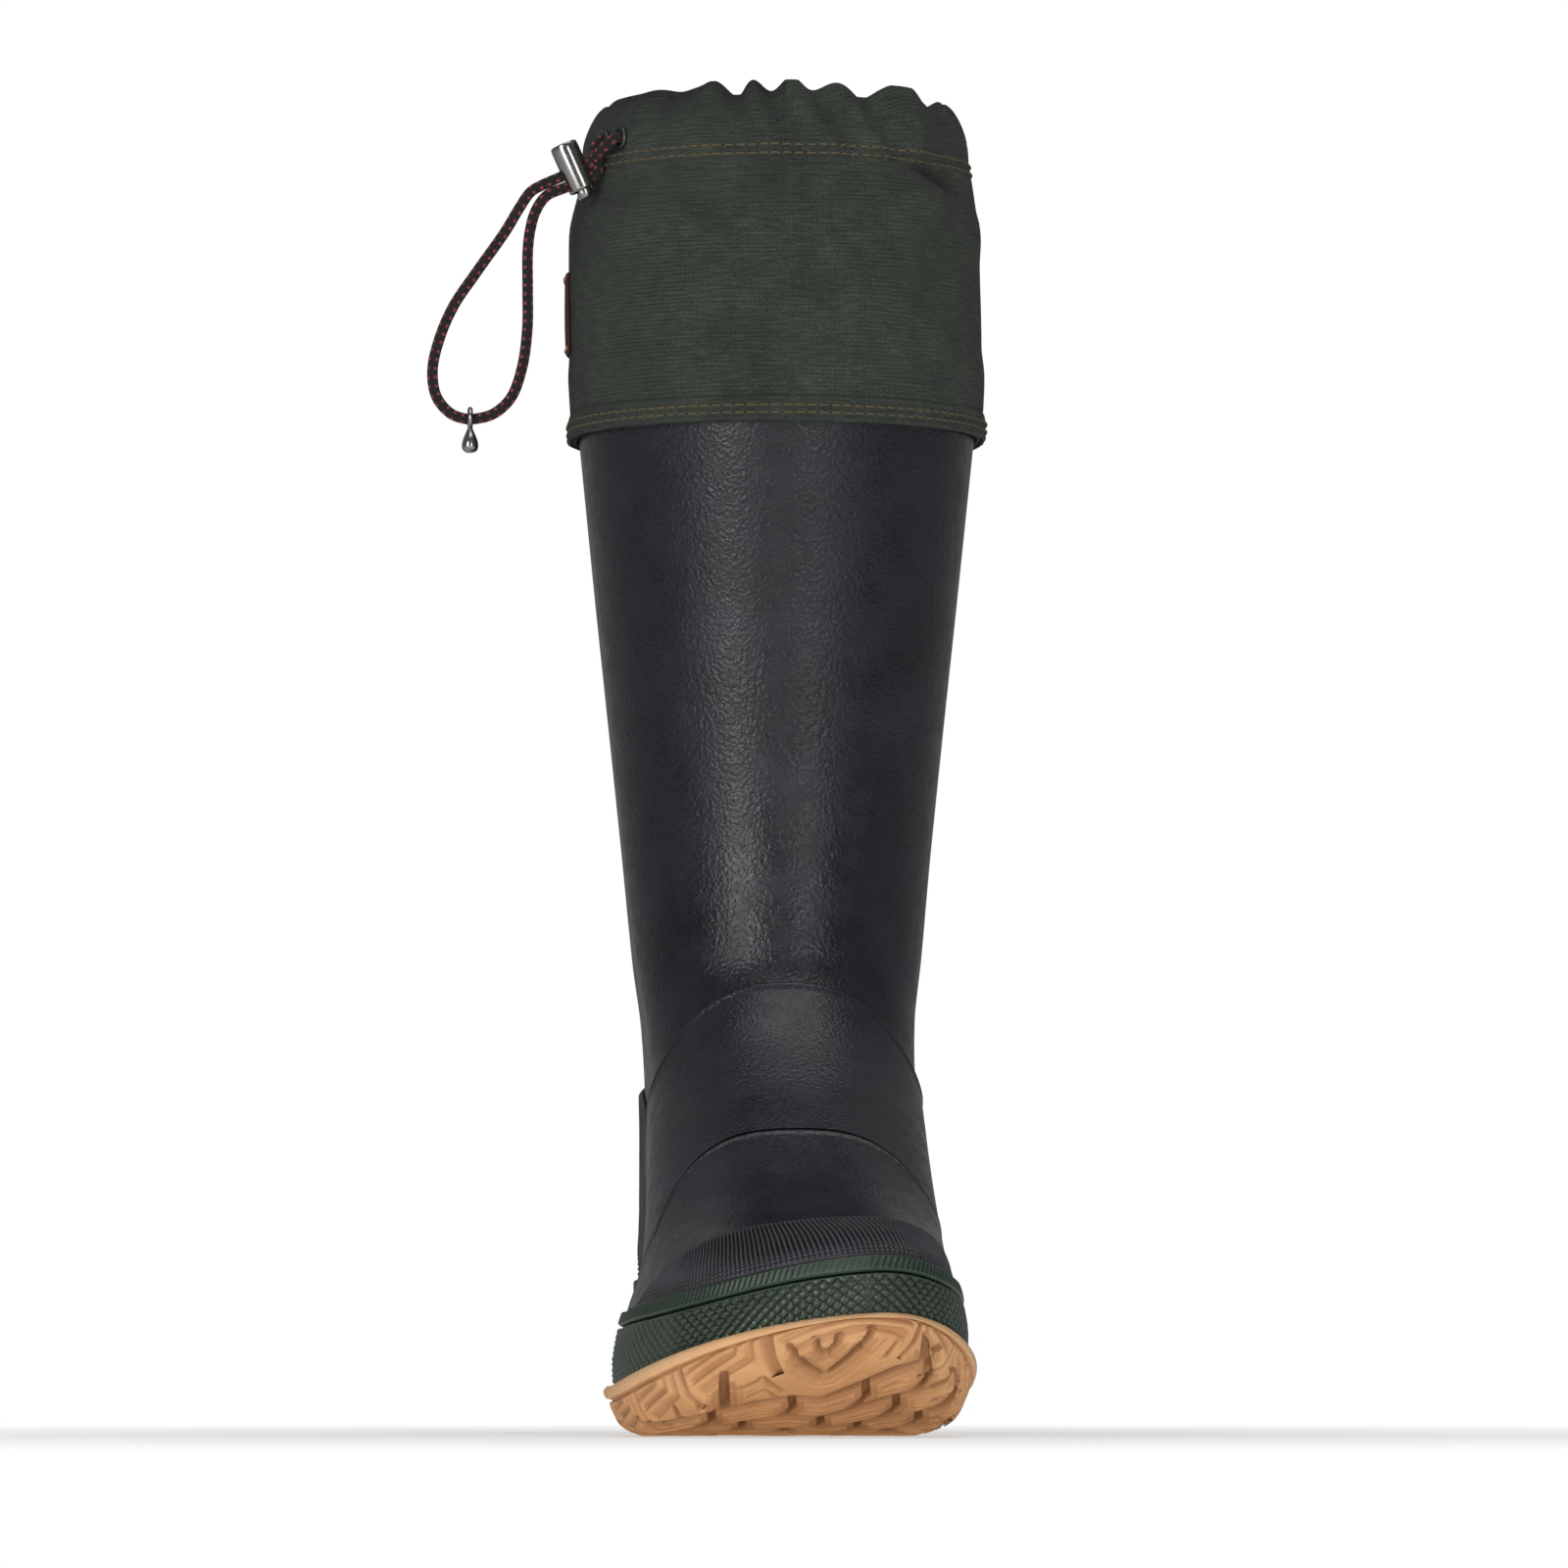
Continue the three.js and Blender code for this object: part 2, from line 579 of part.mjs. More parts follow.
function foxing() {
  const line = (height, clearance) => (column) =>
    atHeight(upper, column, (place) => height(place) + clearance);
  const low = band(upper, line(gumHeight, 2 * GAP), line(foxingHeight, 0), GAP, WALL.foxing);
  const trim = band(upper, line(foxingHeight, GAP), line(trimTop, 0), GAP, WALL.trim);
  return [piece('foxing_band', low, 'green'), piece('foxing_trim', trim, 'green')];
}

function overlays() {
  // The top edge of a front overlay over the columns from -outer to inner.
  const edge = ([outer, inner], seam) => (column) =>
    column > inner || column < -outer ? 0 : Math.max(atSeam(column, seam), aboveTrim(column) + 0.5);
  const above = (line) => (column) => Math.max(aboveTrim(column), line(column) + 2 * GAP);
  const whole = [() => upper.levels[0], () => topOf(upper)];
  const clearance = band(upper, ...whole, -WALL.rubber, WALL.rubber + GAP * 0.8);
  const toe = edge(TOE_REACH, SEAMS.toe);
  const vamp = edge(VAMP_REACH, SEAMS.vamp);
  const ankle = edge(SIDE_REACH, SEAMS.ankle);
  const front = (name, [outer, inner], low, high, thickness, colour) => {
    const layer = patch(upper, columnsFrom(-outer, inner), low, high, GAP, thickness);
    return piece(name, cut(layer, [clearance]), colour);
  };
  const back = columnsFrom(9, COLUMNS - 9);
  const counter = patch(upper, back, aboveTrim, (column) => atSeam(column, SEAMS.counter), GAP, WALL.cap);
  return [
    front('toe_cap_overlay', TOE_REACH, aboveTrim, toe, WALL.cap, 'knurl'),
    front('vamp_overlay', VAMP_REACH, above(toe), vamp, WALL.overlay, 'rubber'),
    front('ankle_overlay', SIDE_REACH, above(vamp), ankle, WALL.overlay, 'rubber'),
    piece('heel_overlay', counter, 'knurl'),
  ];
}

// ---- Cuff ----------------------------------------------------------------------------

const cuffRing = (w, z) => allColumns().map((column) => new THREE.Vector3(...ringPoint(column, w), z));

function cuffPieces() {
  const wall = band(cuff, () => CUFF.bottom, () => CUFF.casing - GAP, -WALL.canvas, WALL.canvas);
  const hem = band(cuff, () => CUFF.bottom, () => HEM.top, GAP, HEM.thickness);
  const side = columnsFrom(PATCH.firstColumn, PATCH.lastColumn);
  const badge = patch(cuff, side, () => PATCH.bottom, () => PATCH.top, GAP, PATCH.thickness);
  const pieces = [piece('canvas_cuff', wall, 'canvas'), piece('cuff_hem', hem, 'hem')];
  return [...pieces, piece('side_patch', badge, 'patch'), casing()];
}

// The drawcord channel: a folded rim with a tunnel round it and two eyelet holes.
function casing() {
  const rim = loft(CASING_SECTION.map(({ w, z }) => cuffRing(w, z)), true);
  const tunnel = tunnelRing();
  const holes = eyeletPlaces().map((place) => eyeletBore(place, EYELET.bore + 0.6, 7));
  return piece('cuff_casing', cut(rim, [tunnel, ...holes]), 'canvas');
}

function tunnelRing() {
  const { w, z } = CORD.run;
  const rings = [...Array(6).keys()].map((i) => {
    const angle = -(i / 6) * 2 * Math.PI;
    return cuffRing(w + CORD.tunnel * 1.1 * Math.cos(angle), z - CORD.tunnel * 1.1 * Math.sin(angle));
  });
  return loft(rings, true);
}

// Where the two eyelets sit on the casing, with the way out of each.
function eyeletPlaces() {
  return [-1, 1].map((side) => {
    const y = EYELET.y + (side * EYELET.spacing) / 2;
    const forward = CUFF.axis - CUFF.straight - y;
    const x = -Math.sqrt(EYELET.seat ** 2 - forward ** 2);
    const out = new THREE.Vector3(x, -forward, 0).normalize();
    return { position: new THREE.Vector3(x, y, EYELET.z), out };
  });
}

function pointAlong(geometry, { position, out }) {
  const turn = new THREE.Quaternion().setFromUnitVectors(new THREE.Vector3(0, 1, 0), out);
  return geometry.applyQuaternion(turn).translate(position.x, position.y, position.z);
}

function eyeletBore(place, radius, length) {
  return pointAlong(new THREE.CylinderGeometry(radius, radius, length, 12), place);
}

function eyelets() {
  const { bore, rim, thickness } = EYELET;
  const profile = [
    [bore, -0.2], [rim, 0.15], [rim, 0.15 + thickness * 0.6],
    [bore + 0.9, thickness], [bore, thickness * 0.7],
    [bore, -0.2],
  ];
  const ring = () => new THREE.LatheGeometry(profile.map(([r, h]) => new THREE.Vector2(r, h)), 14);
  return eyeletPlaces().map((place, i) => {
    const raised = { ...place, position: place.position.clone().addScaledVector(place.out, 0.45) };
    return piece(i === 0 ? 'eyelet_front' : 'eyelet_rear', pointAlong(ring(), raised), 'nickel');
  });
}

// ---- Drawcord ------------------------------------------------------------------------

function cordTube(points, steps) {
  const shape = new THREE.Shape();
  for (let i = 0; i < CORD.sides; i += 1) {
    const angle = ((i + 0.5) / CORD.sides) * 2 * Math.PI;
    const at = [CORD.radius * Math.cos(angle), CORD.radius * Math.sin(angle)];
    if (i === 0) shape.moveTo(...at);
    else shape.lineTo(...at);
  }
  shape.closePath();
  const path = new THREE.CatmullRomCurve3(points, false, 'centripetal');
  path.arcLengthDivisions = 2000;
  return new THREE.ExtrudeGeometry(shape, { steps, extrudePath: path, bevelEnabled: false });
}

// The cord inside the casing, from one eyelet round the leg to the other.
function cordRun() {
  const columns = columnsFrom(-4, COLUMNS - 8);
  const points = columns.map((column) => new THREE.Vector3(...ringPoint(column, CORD.run.w), CORD.run.z));
  return piece('drawcord_run', cordTube(points, 42), 'cord');
}

// The free loop: out of the front eyelet, through the lock, round the pull and back. It runs
// straight through the lock and as far beyond as the lock slides.
const strand = (side) => {
  const start = new THREE.Vector3(LOCK.x, LOCK.y, LOCK.z).addScaledVector(LOCK_DOWN, side * LOCK.strand);
  return [-4.6, -2, 5, 11.5].map((along) => start.clone().addScaledVector(CORD_OUT, along));
};
const inLoop = ([x, z]) => new THREE.Vector3(x, LOCK.y, z);
const LOOP_OUTER = [
  [-80.9, 398.4], [-84.5, 393.2], [-89, 385.6], [-98.3, 372.3], [-105.7, 361.2], [-110.3, 350.2],
  [-112.3, 340.4], [-111, 332.2], [-106.6, 326.9],
].map(inLoop);
const LOOP_BOTTOM = [[-101.8, 325.1], [-98.6, 325.1]].map(inLoop);
const LOOP_INNER = [
  [-92.8, 326.7], [-87.2, 331.8], [-83.6, 341.5], [-81.9, 354], [-81.8, 367], [-81.8, 379], [-81, 386.2],
  [-79.2, 392.4],
].map(inLoop);

// From inside an eyelet to the lock, on a bend that the cord can follow.
function leadIn({ position, out }, side) {
  const [entry] = strand(side);
  const hook = entry.clone().addScaledVector(CORD_OUT, -2.2).addScaledVector(LOCK_DOWN, -1);
  const bend = position.clone().addScaledVector(out, 4).add(new THREE.Vector3(0, 0, -1)).lerp(hook, 0.15);
  const inEyelet = [-2, 2.2].map((along) => position.clone().addScaledVector(out, along));
  return [...inEyelet, bend, hook];
}

function cordLoop() {
  const [front, rear] = eyeletPlaces();
  const points = [
    ...leadIn(front, -1), ...strand(-1), ...LOOP_OUTER, ...LOOP_BOTTOM, ...LOOP_INNER,
    ...strand(1).reverse(), ...leadIn(rear, 1).reverse(),
  ];
  return piece('drawcord_loop', cordTube(points, 76), 'cord');
}

// Local frame of the lock: +Y is the way the plunger comes out, +X the way the cord leaves.
function lockGroup(...meshes) {
  const group = new THREE.Group();
  const third = new THREE.Vector3().crossVectors(CORD_OUT, LOCK_DOWN);
  group.quaternion.setFromRotationMatrix(new THREE.Matrix4().makeBasis(CORD_OUT, LOCK_DOWN, third));
  group.position.set(LOCK.x, LOCK.y, LOCK.z);
  group.add(...meshes);
  return group;
}

const lathe = (profile, sides) =>
  new THREE.LatheGeometry(profile.map(([r, h]) => new THREE.Vector2(r, h)), sides);

// A slot through the lock for both strands, long enough for the given ends.
function cordSlot(from, to) {
  const radius = CORD.radius + GAP;
  const shape = new THREE.Shape();
  shape.absarc(0, from + radius, radius, Math.PI, 2 * Math.PI, false);
  shape.absarc(0, to - radius, radius, 0, Math.PI, false);
  const geometry = new THREE.ExtrudeGeometry(shape, { depth: 14, bevelEnabled: false, curveSegments: 6 });
  return geometry.translate(0, 0, -7).rotateY(Math.PI / 2);
}

function lock() {
  const slotEnd = LOCK.strand + CORD.radius + GAP;
  const { radius, up, down, bore } = LOCK;
  const shell = lathe([
    [0, -up], [radius - 1, -up], [radius, 1 - up], [radius, down - 0.4], [radius - 0.4, down],
    [bore, down], [bore, 1.3 - up], [0, 1.3 - up]], 24);
  const barrel = cut(shell, [cordSlot(-slotEnd, slotEnd)]);
  const { radius: r, up: top, down: end, travel } = PLUNGER;
  const rod = lathe([[0, -top], [r, -top], [r, end - 0.8], [r - 0.6, end], [0, end]], 20);
  const plunger = cut(rod, [cordSlot(-slotEnd, slotEnd + travel)]);
  const coil = lathe([[SPRING.inner, 1.6 - up], [SPRING.outer, 1.6 - up], [SPRING.outer, -top - GAP],
    [SPRING.inner, -top - GAP], [SPRING.inner, 1.6 - up]], 12);
  return lockGroup(
    piece('lock_barrel', barrel, 'nickel'),
    piece('lock_plunger', plunger, 'nickel'),
    piece('lock_spring', coil, 'steel'),
  );
}

// Teardrop pull hung on the lowest point of the loop by an eye.
function cordPull() {
  const { eye, wire, radius, bottom } = PULL;
  const ring = new THREE.TorusGeometry(eye, wire, 6, 14).rotateY(Math.PI / 2);
  const drop = lathe([
    [0, -bottom], [radius * 0.7, 0.5 - bottom], [radius, 1.6 - bottom], [radius * 0.9, 3.6 - bottom],
    [wire, -eye + 0.2], [0, -eye + 0.2]], 16).rotateX(Math.PI / 2);
  const joined = toGeometry(toSolid(ring).add(toSolid(drop)));
  const mesh = piece('cord_pull', joined, 'nickel');
  mesh.position.set(PULL.x, LOCK.y, PULL.z);
  return mesh;
}

// ---- The whole boot --------------------------------------------------------------------

const boot = new THREE.Group();
boot.add(outsole(), ...soleStack(), rubberUpper(), ...innerLayers(), ...foxing(), ...overlays());
boot.add(...cuffPieces(), ...eyelets(), cordRun(), cordLoop(), lock(), cordPull());

boot.position.y = CENTRE_SHIFT;

export default boot;
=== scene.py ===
"""Looks of a tall insulated rubber hunting boot, right foot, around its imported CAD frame.

Shapes are worked out in millimetres in the CAD's own frame, toe towards -Y, inner side
towards +X, and become metres as a mesh is made. The upper's and the cuff's outlines follow
the same tables as the CAD solids, drawn finer.
"""

import math
import random

import bmesh
import bpy
import numpy as np
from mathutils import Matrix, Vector


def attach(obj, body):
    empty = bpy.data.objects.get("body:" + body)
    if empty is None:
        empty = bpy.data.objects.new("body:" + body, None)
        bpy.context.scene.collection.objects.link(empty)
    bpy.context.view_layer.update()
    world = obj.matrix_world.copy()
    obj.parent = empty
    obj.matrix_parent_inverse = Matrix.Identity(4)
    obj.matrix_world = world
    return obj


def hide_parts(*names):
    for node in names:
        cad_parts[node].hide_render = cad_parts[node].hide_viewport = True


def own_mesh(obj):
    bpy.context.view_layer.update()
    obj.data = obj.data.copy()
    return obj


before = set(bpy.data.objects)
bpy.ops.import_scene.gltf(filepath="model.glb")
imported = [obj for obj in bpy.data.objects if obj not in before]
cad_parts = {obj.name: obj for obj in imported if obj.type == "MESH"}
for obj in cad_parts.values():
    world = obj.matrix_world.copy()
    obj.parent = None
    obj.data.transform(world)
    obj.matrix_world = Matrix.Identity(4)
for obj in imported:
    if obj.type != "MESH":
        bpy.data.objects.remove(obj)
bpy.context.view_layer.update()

MM = 0.001
CENTRE_SHIFT = 0.25  # the CAD's shift along Y that puts the boot's middle over the origin
GAP = 0.3  # air between touching pieces
DENSITY = 1.0  # share of the full mesh density


def fine(count):
    return int(count * DENSITY)


def linked(name, data):
    obj = bpy.data.objects.new(name, data)
    bpy.context.scene.collection.objects.link(obj)
    return obj


def aimed(name, data, location, target):
    obj = linked(name, data)
    obj.location = location
    obj.rotation_euler = (Vector(target) - Vector(location)).to_track_quat("-Z", "Y").to_euler()
    return obj


def in_metres(points):
    """Millimetres of the CAD's own frame as metres of the row frame."""
    return np.asarray(points) * MM + (0, CENTRE_SHIFT * MM, 0)


# ---- Camera ----

CAMERA_DISTANCE, CAMERA_AZIMUTH, CAMERA_HEIGHT = 3.0, math.radians(-3), 0.021
LOOK_AT = (-0.0015, 0.0, 0.2055)


def make_camera():
    data = bpy.data.cameras.new("camera")
    data.lens = 218.2
    data.sensor_width = 36
    data.clip_end = 100
    x, y = CAMERA_DISTANCE * math.sin(CAMERA_AZIMUTH), -CAMERA_DISTANCE * math.cos(CAMERA_AZIMUTH)
    bpy.context.scene.camera = aimed("camera", data, (x, y, CAMERA_HEIGHT), LOOK_AT)


make_camera()

# ---- The boot's surfaces, as the CAD has them ----

COLUMNS, FRONT_STEPS, SIDE_STEPS = 32, 6, 4
HALF = COLUMNS / 2
BACK_STEPS = HALF - FRONT_STEPS - SIDE_STEPS

# Height, toe end, widest place, heel arc's start, heel end, half widths outside, inside and
# at the heel, squareness of the end arcs, share of the foot's own shape.
UPPER = [
    (10.4, -141, -45, 100, 142, 48.5, 42.5, 35, 2.1, 1),
    (15, -147.3, -45, 100, 147, 54, 48, 39.5, 2.1, 1),
    (22, -150, -45, 100, 149, 54.3, 48.2, 41.5, 2.1, 1),
    (31, -147, -45, 100, 149, 53, 46.8, 42, 2.15, 0.95),
    (39, -138.5, -44, 100, 148.3, 50.5, 45, 42, 2.2, 0.86),
    (47, -124, -42, 100, 147.5, 47.8, 44, 42, 2.25, 0.75),
    (55, -107, -40, 99, 146.5, 46, 43.2, 41.7, 2.3, 0.63),
    (65, -86, -32, 99, 146, 44.8, 42.8, 41.5, 2.3, 0.46),
    (79, -61, -15, 98, 145, 43.5, 42.4, 41.5, 2.3, 0.24),
    (94, -38, 5, 98, 144, 42.6, 42, 41.5, 2.25, 0.09),
    (112, -13, 30, 99, 142.5, 42, 42, 41.8, 2.1, 0),
    (131, 6, 49, 98, 141, 43, 43, 43, 2, 0),
    (152, 17, 62, 95, 140.5, 46, 46, 46, 2, 0),
    (190, 20.5, 70, 92.5, 142.5, 50, 50, 50, 2, 0),
    (250, 16.5, 72, 89, 145, 56.3, 56.3, 56.3, 2, 0),
    (325, 6.5, 70.5, 84, 148.2, 64.2, 64.2, 64.2, 2, 0),
]
FOOT = dict(tip=17, ball=27, inner_arch=0.2, outer_arch=0.07)
CUFF_AXIS, CUFF_STRAIGHT = 77.3, 6.5
CUFF = [(321.5, 65.9), (332, 66.9), (342, 67.3), (352, 66.4), (374, 66.4), (389, 65.9), (403, 63.6),
        (412, 62)]
WALL = dict(rubber=2.5, insulation=5, lining=1, canvas=1.4, overlay=1.2, cap=1.6, foxing=2.6)
# Crest's y and z, slope back from it, how far the seam bows down at the bow's reach from the middle.
SEAMS = dict(toe=(-103, 64.5, 0.7, 0), vamp=(-38, 95, 1.1, 19), ankle=(14, 143, 1.08, 12),
             counter=(72, 104, -0.22, 0))
BOW_REACH, BOW_MOST, BOW_POWER = 33, 43, 3.6
WIDEST, SOLE_LEVEL = 22.0, 18.0  # heights at which the upper is widest and the sole's side starts


def smooth(t):
    t = np.clip(t, 0, 1)
    return t * t * (3 - 2 * t)


def lerp(a, b, t):
    return a + (b - a) * t


def at(x, y, z):
    """Points of coordinates that needn't have the same shape."""
    return np.stack(np.broadcast_arrays(x, y, z), axis=-1)


def unit(v):
    return v / np.linalg.norm(v, axis=-1, keepdims=True)


def ring_angles(count):
    return np.linspace(0, 2 * math.pi, count, endpoint=False)


def all_round(count):
    """Columns all the way round, as many as the mesh's density allows."""
    return np.linspace(0, COLUMNS, fine(count), endpoint=False)


def run_length(points):
    """Length along points, from the first row of them."""
    steps = np.linalg.norm(np.diff(points, axis=0), axis=-1)
    return np.concatenate([np.zeros((1, *steps.shape[1:])), np.cumsum(steps, axis=0)])


def line_through(xs, ys):
    """A smooth line through the table's values that doesn't overshoot them."""
    xs, ys = np.asarray(xs, float), np.asarray(ys, float)
    h = np.diff(xs)
    slope = np.diff(ys) / h
    m = np.empty_like(ys)
    m[0], m[-1] = slope[0], slope[-1]
    product = slope[:-1] * slope[1:]
    m[1:-1] = np.where(product > 0, 2 * product / (slope[:-1] + slope[1:] + 1e-12), 0)

    def value(x):
        x = np.clip(x, xs[0], xs[-1])
        i = np.clip(np.searchsorted(xs, x) - 1, 0, len(h) - 1)
        t = (x - xs[i]) / h[i]
        a, b = ys[i], ys[i + 1]
        cubic = (2 * a - 2 * b + h[i] * (m[i] + m[i + 1])) * t**3
        square = (3 * b - 3 * a - h[i] * (2 * m[i] + m[i + 1])) * t**2
        return cubic + square + h[i] * m[i] * t + a

    return value


UPPER_LINES = [line_through([row[0] for row in UPPER], [row[k] for row in UPPER]) for k in range(1, 10)]
CUFF_WIDTH = line_through(*zip(*CUFF))


def toe_share(p):
    return np.clip((-45 - p[..., 1] + 0.22 * p[..., 0]) / 109, 0, 1)


def heel_rise(p):
    return 12 * smooth((p[..., 1] - 10) / 80)


def tread_height(p):
    return 29 * toe_share(p) ** 2


def lift(p):
    return 26 * toe_share(p) ** 1.6 + heel_rise(p)


def gum_height(p):
    return 15.5 + 23 * toe_share(p) ** 1.5 + heel_rise(p)


def foxing_height(p):
    return gum_height(p) + lerp(19, 12.5, smooth((-60 - p[..., 1]) / 85))


def trim_height(p):
    return foxing_height(p) + 3.6


def plan_point(column, front, wide, heel, back, lateral, medial, rear, square, foot):
    """Plan position of a column on an outline (UPPER's values): toe arc, side, heel arc."""
    column = np.mod(column, COLUMNS)
    inner = column <= HALF
    side = np.where(inner, 1.0, -1.0)
    step = np.where(inner, column, COLUMNS - column)
    power = 2 / square
    width = np.where(inner, medial, lateral)
    wide = wide - np.where(inner, FOOT["ball"] * foot, 0)
    toe_arc = np.clip(step / FRONT_STEPS, 0, 1) * math.pi / 2
    along_side = np.clip((step - FRONT_STEPS) / SIDE_STEPS, 0, 1)
    heel_arc = np.clip((step - FRONT_STEPS - SIDE_STEPS) / BACK_STEPS, 0, 1) * math.pi / 2
    toe_x = lerp(FOOT["tip"] * foot, side * width, np.sin(toe_arc) ** power)
    toe_y = wide - (wide - front) * np.abs(np.cos(toe_arc)) ** power
    y = lerp(wide, heel, along_side) + (back - heel) * np.sin(heel_arc) ** power
    along = np.clip((y - wide) / (heel - wide), 0, 1)
    arch = foot * np.where(inner, FOOT["inner_arch"], FOOT["outer_arch"])
    waist = 1 - arch * np.sin(math.pi * along) ** 2
    x = side * np.abs(np.cos(heel_arc)) ** power * waist * lerp(width, rear, smooth(along))
    on_toe = step < FRONT_STEPS
    return np.where(on_toe, toe_x, x), np.where(on_toe, toe_y, y)


def upper_base(column, v):
    x, y = plan_point(column, *[line(v) for line in UPPER_LINES])
    low = 1 - smooth((v - 40) / 75)
    return at(x, y, v + lift(np.stack([x, y], axis=-1)) * low)


def ring_point(column, width):
    wide, heel = CUFF_AXIS - CUFF_STRAIGHT, CUFF_AXIS + CUFF_STRAIGHT
    return plan_point(column, wide - width, wide, heel, heel + width, width, width, width, 2, 0)


class Surface:
    """A surface over (column, height), with points at an offset along its outward normal."""

    ASIDE, ABOVE = 0.3, 1.5  # how far away the points are that the normal is worked out from

    def __init__(self, base, low, high):
        self.base, self.low, self.high = base, low, high

    def point(self, column, v, offset=0.0):
        column, v = np.broadcast_arrays(np.asarray(column, float), np.asarray(v, float))
        around = self.base(column + self.ASIDE, v) - self.base(column - self.ASIDE, v)
        above = self.base(column, np.minimum(v + self.ABOVE, self.high))
        below = self.base(column, np.maximum(v - self.ABOVE, self.low))
        normal = unit(np.cross(around, above - below))
        return self.base(column, v) + normal * np.asarray(offset, float)[..., None]

    def normal(self, column, v):
        return self.point(column, v, 1.0) - self.point(column, v)

    def find(self, column, reach):
        """Height at which each column's reach(point) passes zero."""
        low = np.full(np.shape(column), float(self.low))
        high = np.full(np.shape(column), float(self.high))
        for _ in range(40):
            middle = (low + high) / 2
            below = reach(self.base(column, middle)) < 0
            low, high = np.where(below, middle, low), np.where(below, high, middle)
        return high


upper = Surface(upper_base, UPPER[0][0], UPPER[-1][0])


def at_height(column, line):
    return upper.find(column, lambda p: p[..., 2] - line(p))


def at_seam(column, seam):
    y, z, slope, bow = SEAMS[seam]

    def over(p):
        aside = np.minimum(np.abs(p[..., 0]), BOW_MOST) / BOW_REACH
        return p[..., 2] - z + slope * (p[..., 1] - y) + bow * aside**BOW_POWER

    return upper.find(column, over)


def above_trim(column):
    return at_height(column, lambda p: trim_height(p) + GAP)


# ---- Mesh making ----

MERGED = 0.002  # points closer than this become one


class Build:
    """Collects grids of points in millimetres and makes one object of them."""

    def __init__(self, name, body="boot"):
        self.name, self.body = name, body
        self.points, self.faces, self.uvs, self.relief = [], [], [], []
        self.count = 0

    def grid(self, points, closed=False, uv=None, relief=None, flip=False):
        """A grid of rows by columns. A closed one joins its last column to its first."""
        rows, columns = points.shape[:2]
        across = columns if closed else columns - 1
        index = np.arange(rows * columns).reshape(rows, columns) + self.count
        left = index[:, :across]
        right = np.roll(index, -1, axis=1)[:, :across]
        faces = np.stack([left[:-1], right[:-1], right[1:], left[1:]], axis=-1).reshape(-1, 4)
        if uv is None:
            uv = default_uv(points, closed)
        corner = [uv[:-1, :across], uv[:-1, 1 : across + 1], uv[1:, 1 : across + 1], uv[1:, :across]]
        corner = np.stack(corner, axis=-2).reshape(-1, 4, 2)
        if flip:
            faces, corner = faces[:, ::-1], corner[:, ::-1]
        self.faces.append(faces)
        self.uvs.append(corner)
        self.points.append(points.reshape(-1, 3))
        level = 0.0 if relief is None else relief
        self.relief.append(np.broadcast_to(level, (rows, columns)).reshape(-1))
        self.count += rows * columns
        return self

    def make(self, material, slot, replaces=(), outward=False):
        points = in_metres(np.concatenate(self.points))
        faces = np.concatenate(self.faces)
        mesh = bpy.data.meshes.new(self.name)
        mesh.vertices.add(len(points))
        mesh.vertices.foreach_set("co", points.ravel())
        mesh.loops.add(faces.size)
        mesh.loops.foreach_set("vertex_index", faces.ravel())
        mesh.polygons.add(len(faces))
        mesh.polygons.foreach_set("loop_start", np.arange(0, faces.size, 4))
        mesh.polygons.foreach_set("use_smooth", np.ones(len(faces), bool))
        mesh.uv_layers.new(name="millimetres").data.foreach_set("uv", np.concatenate(self.uvs).ravel())
        mesh.attributes.new("relief", "FLOAT", "POINT").data.foreach_set("value", np.concatenate(self.relief))
        mesh.update(calc_edges=True)
        mesh.validate()
        bm = bmesh.new()
        bm.from_mesh(mesh)
        bmesh.ops.remove_doubles(bm, verts=bm.verts, dist=MERGED * MM)
        bmesh.ops.dissolve_degenerate(bm, edges=bm.edges, dist=MERGED / 4 * MM)
        if outward:
            bmesh.ops.recalc_face_normals(bm, faces=bm.faces)
        bm.to_mesh(mesh)
        bm.free()
        return place(mesh, self.name, self.body, material, slot, replaces)


def place(mesh, name, body, material, slot, replaces=()):
    obj = linked(name, mesh)
    mesh.materials.append(material)
    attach(obj, body)
    if replaces:
        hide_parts(*replaces)
    return obj


def default_uv(points, closed):
    """Millimetres along the columns and up the rows, with one more column where it closes."""
    wrapped = np.concatenate([points, points[:, :1]], axis=1) if closed else points
    u = run_length(wrapped.swapaxes(0, 1)).T
    rises = np.linalg.norm(np.diff(wrapped, axis=0), axis=-1).mean(axis=1)
    v = np.concatenate([[0], np.cumsum(rises)])[:, None] + 0 * u
    return np.stack([u, v], axis=-1)


def even_columns(first, last, count, line=lambda columns: upper.point(columns, WIDEST)):
    """Column positions evenly spaced along a line, by default the upper's widest ring."""
    many = np.linspace(first, last, 2000)
    length = run_length(line(many))
    return np.interp(np.linspace(0, length[-1], count), length, many)


def edge_profile(distance, radius):
    """Share of the full thickness at a distance from a rounded edge."""
    inside = np.clip(distance / radius, 0, 1)
    return np.sqrt(1 - (1 - inside) ** 2)


